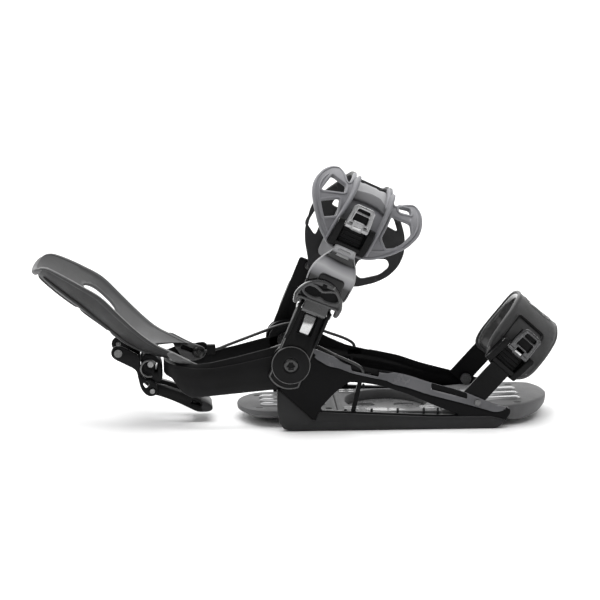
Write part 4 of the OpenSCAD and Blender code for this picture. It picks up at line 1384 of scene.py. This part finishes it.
def make_ratchets():
    ratchet_base("ankle_ratchet_base_look", "ankle", "ankle_strap", 54, 124, 152, 63, 151)
    ratchet_base("toe_ratchet_base_look", "toe_ratchet", "toe_strap", 46, 38, 65, 55, 64)
    ratchet_lever("ankle_ratchet_lever", "ankle", "lever_silver", 63, 151, 22)
    ratchet_lever("toe_ratchet_lever", "toe_ratchet", "toe_lever", 55, 64, 24)


# ---------- toe strap ----------


def make_toe_strap():
    near = [(-18, 36), (-28, 45), (-33, 57), (-35, 77), (-34.5, 100), (-33, 103.5)]
    far_left = [(-32, 105), (-31, 100), (-25, 75), (-23, 47), (-20, 36)]
    far_right = [(-14, 31), (8, 34), (16, 42), (20, 60), (22, 98), (20, 105)]
    near_right = [(21.5, 103.5), (24, 98), (24.5, 54), (20.5, 45), (11, 37.5)]
    outline = (TOE_ARCH.outline(near, -1) + TOE_ARCH.outline(far_left, 1) + TOE_ARCH.outline(far_right, 1)
               + TOE_ARCH.outline(near_right, -1))
    outline = rounded(outline, 8, 5)
    windows = [box(-19, -9, 8, 9, 6), rounded([(-20, 24), (8, 24), (6, 46), (-16, 46)], 6)]
    body = carved([outline] + windows, [(0, 1.0), (0.6, 0.1), (1.6, -0.3), (3.0, -0.35), (3.8, 0.15)],
                  [(0, 2.0), (0.3, 2.3), (0.6, 2.5)])
    cut_grid(body, (7, 2.5, 0))
    bent(body, TOE_ARCH.bend)
    corners = TOE_ARCH.outline([(-24.5, 62), (8.5, 62), (8.5, 91), (-24.5, 91)], -1)
    line = rounded(corners, 3.5, 4)
    rim = tube([TOE_ARCH.bend(x, s, -0.3) for x, s in line + line[:1]], 1.7, 8, False)
    whole = moved(joined(body, painted(rim, 1)), FRAMES["toe"])
    piece("toe_strap_look", whole, ["toe_leather", "black_plastic"], "toe_strap", sharp=42)

    pad_loop = [(x * 0.94 - 0.3, s * 0.965) for x, s in outline]
    pad = carved([pad_loop], [(0, 3.4), (0.5, 2.9), (1.5, 2.65)], [(0, 5.4), (0.8, 6.8), (2.6, 7.5)])
    cut_grid(pad, (5, 3, 0))
    for v in pad.verts:         # the pad swells out through the strap's two windows
        if v.co.z < 3.2:
            for x, s, half_x, half_s in ((-5.5, 0, 13.5, 9), (-6, 35, 12, 11)):
                inside = 1 - ramp(0.55, 1.0, abs(v.co.x - x) / half_x)
                v.co.z -= 2.4 * inside * (1 - ramp(0.55, 1.0, abs(v.co.y - s) / half_s))
    bent(pad, TOE_ARCH.bend)
    obj = piece("toe_strap_pad_look", moved(pad, FRAMES["toe"]), "toe_dome", "toe_strap")


# ---------- CAD nodes that stay ----------


def keep_node(name, edge, look=None):
    """Gives a CAD node its slot's material, or another look, and edges softened by `edge` mm."""
    obj = frame["nodes"][name]
    slots = {s["node"]: s["material_slot"] for s in frame["record"]["subparts"]}
    obj.data.materials.clear()
    obj.data.materials.append(LOOK[look or slots[name]])
    if edge:
        weld = obj.modifiers.new("weld", "WELD")
        weld.merge_threshold = 0.00001
        modifier = obj.modifiers.new("edge", "BEVEL")
        modifier.width = edge * MM
        modifier.segments = 2
        modifier.limit_method = "ANGLE"
        modifier.angle_limit = math.radians(35)


# the edge in mm that each kept CAD node's corners are softened by
KEPT = {"mounting_disc": 0.4, "footbed_screws": 0.3, "pivot_bolts": 0.5, "pivot_washers": 0,
        "cable_anchors": 0.8, "toe_strap_bolts": 0.4, "cable_guides": 0.9, "lean_block_screw": 0.3,
        "cradle_screws": 0.4, "lever_pin": 0.4, "ankle_ladder": 0.3, "far_strap_screws": 0.4,
        "ankle_ratchet_pin": 0.3, "ankle_ratchet_spring": 0.2, "toe_ladder": 0.3, "toe_far_band": 0.5,
        "toe_band_screws": 0.4, "toe_ratchet_pin": 0.3, "toe_ratchet_spring": 0.2}
OTHER_LOOK = {"mounting_disc": "footbed_rib", "cable_anchors": "black_plastic", "pivot_bolts": "dark_steel",
              "lean_block_screw": "dark_bolt", "cradle_screws": "dark_steel", "lever_pin": "dark_bolt"}
for node, edge in KEPT.items():
    keep_node(node, edge, OTHER_LOOK.get(node))

for make in (make_chassis, make_footbeds, make_pivot_caps, make_cables, make_heel_loop, make_highback,
             make_lever_parts, make_brackets, make_spring, make_quick_lever, make_ankle_strap,
             make_shield, make_ratchets, make_toe_strap):
    make()
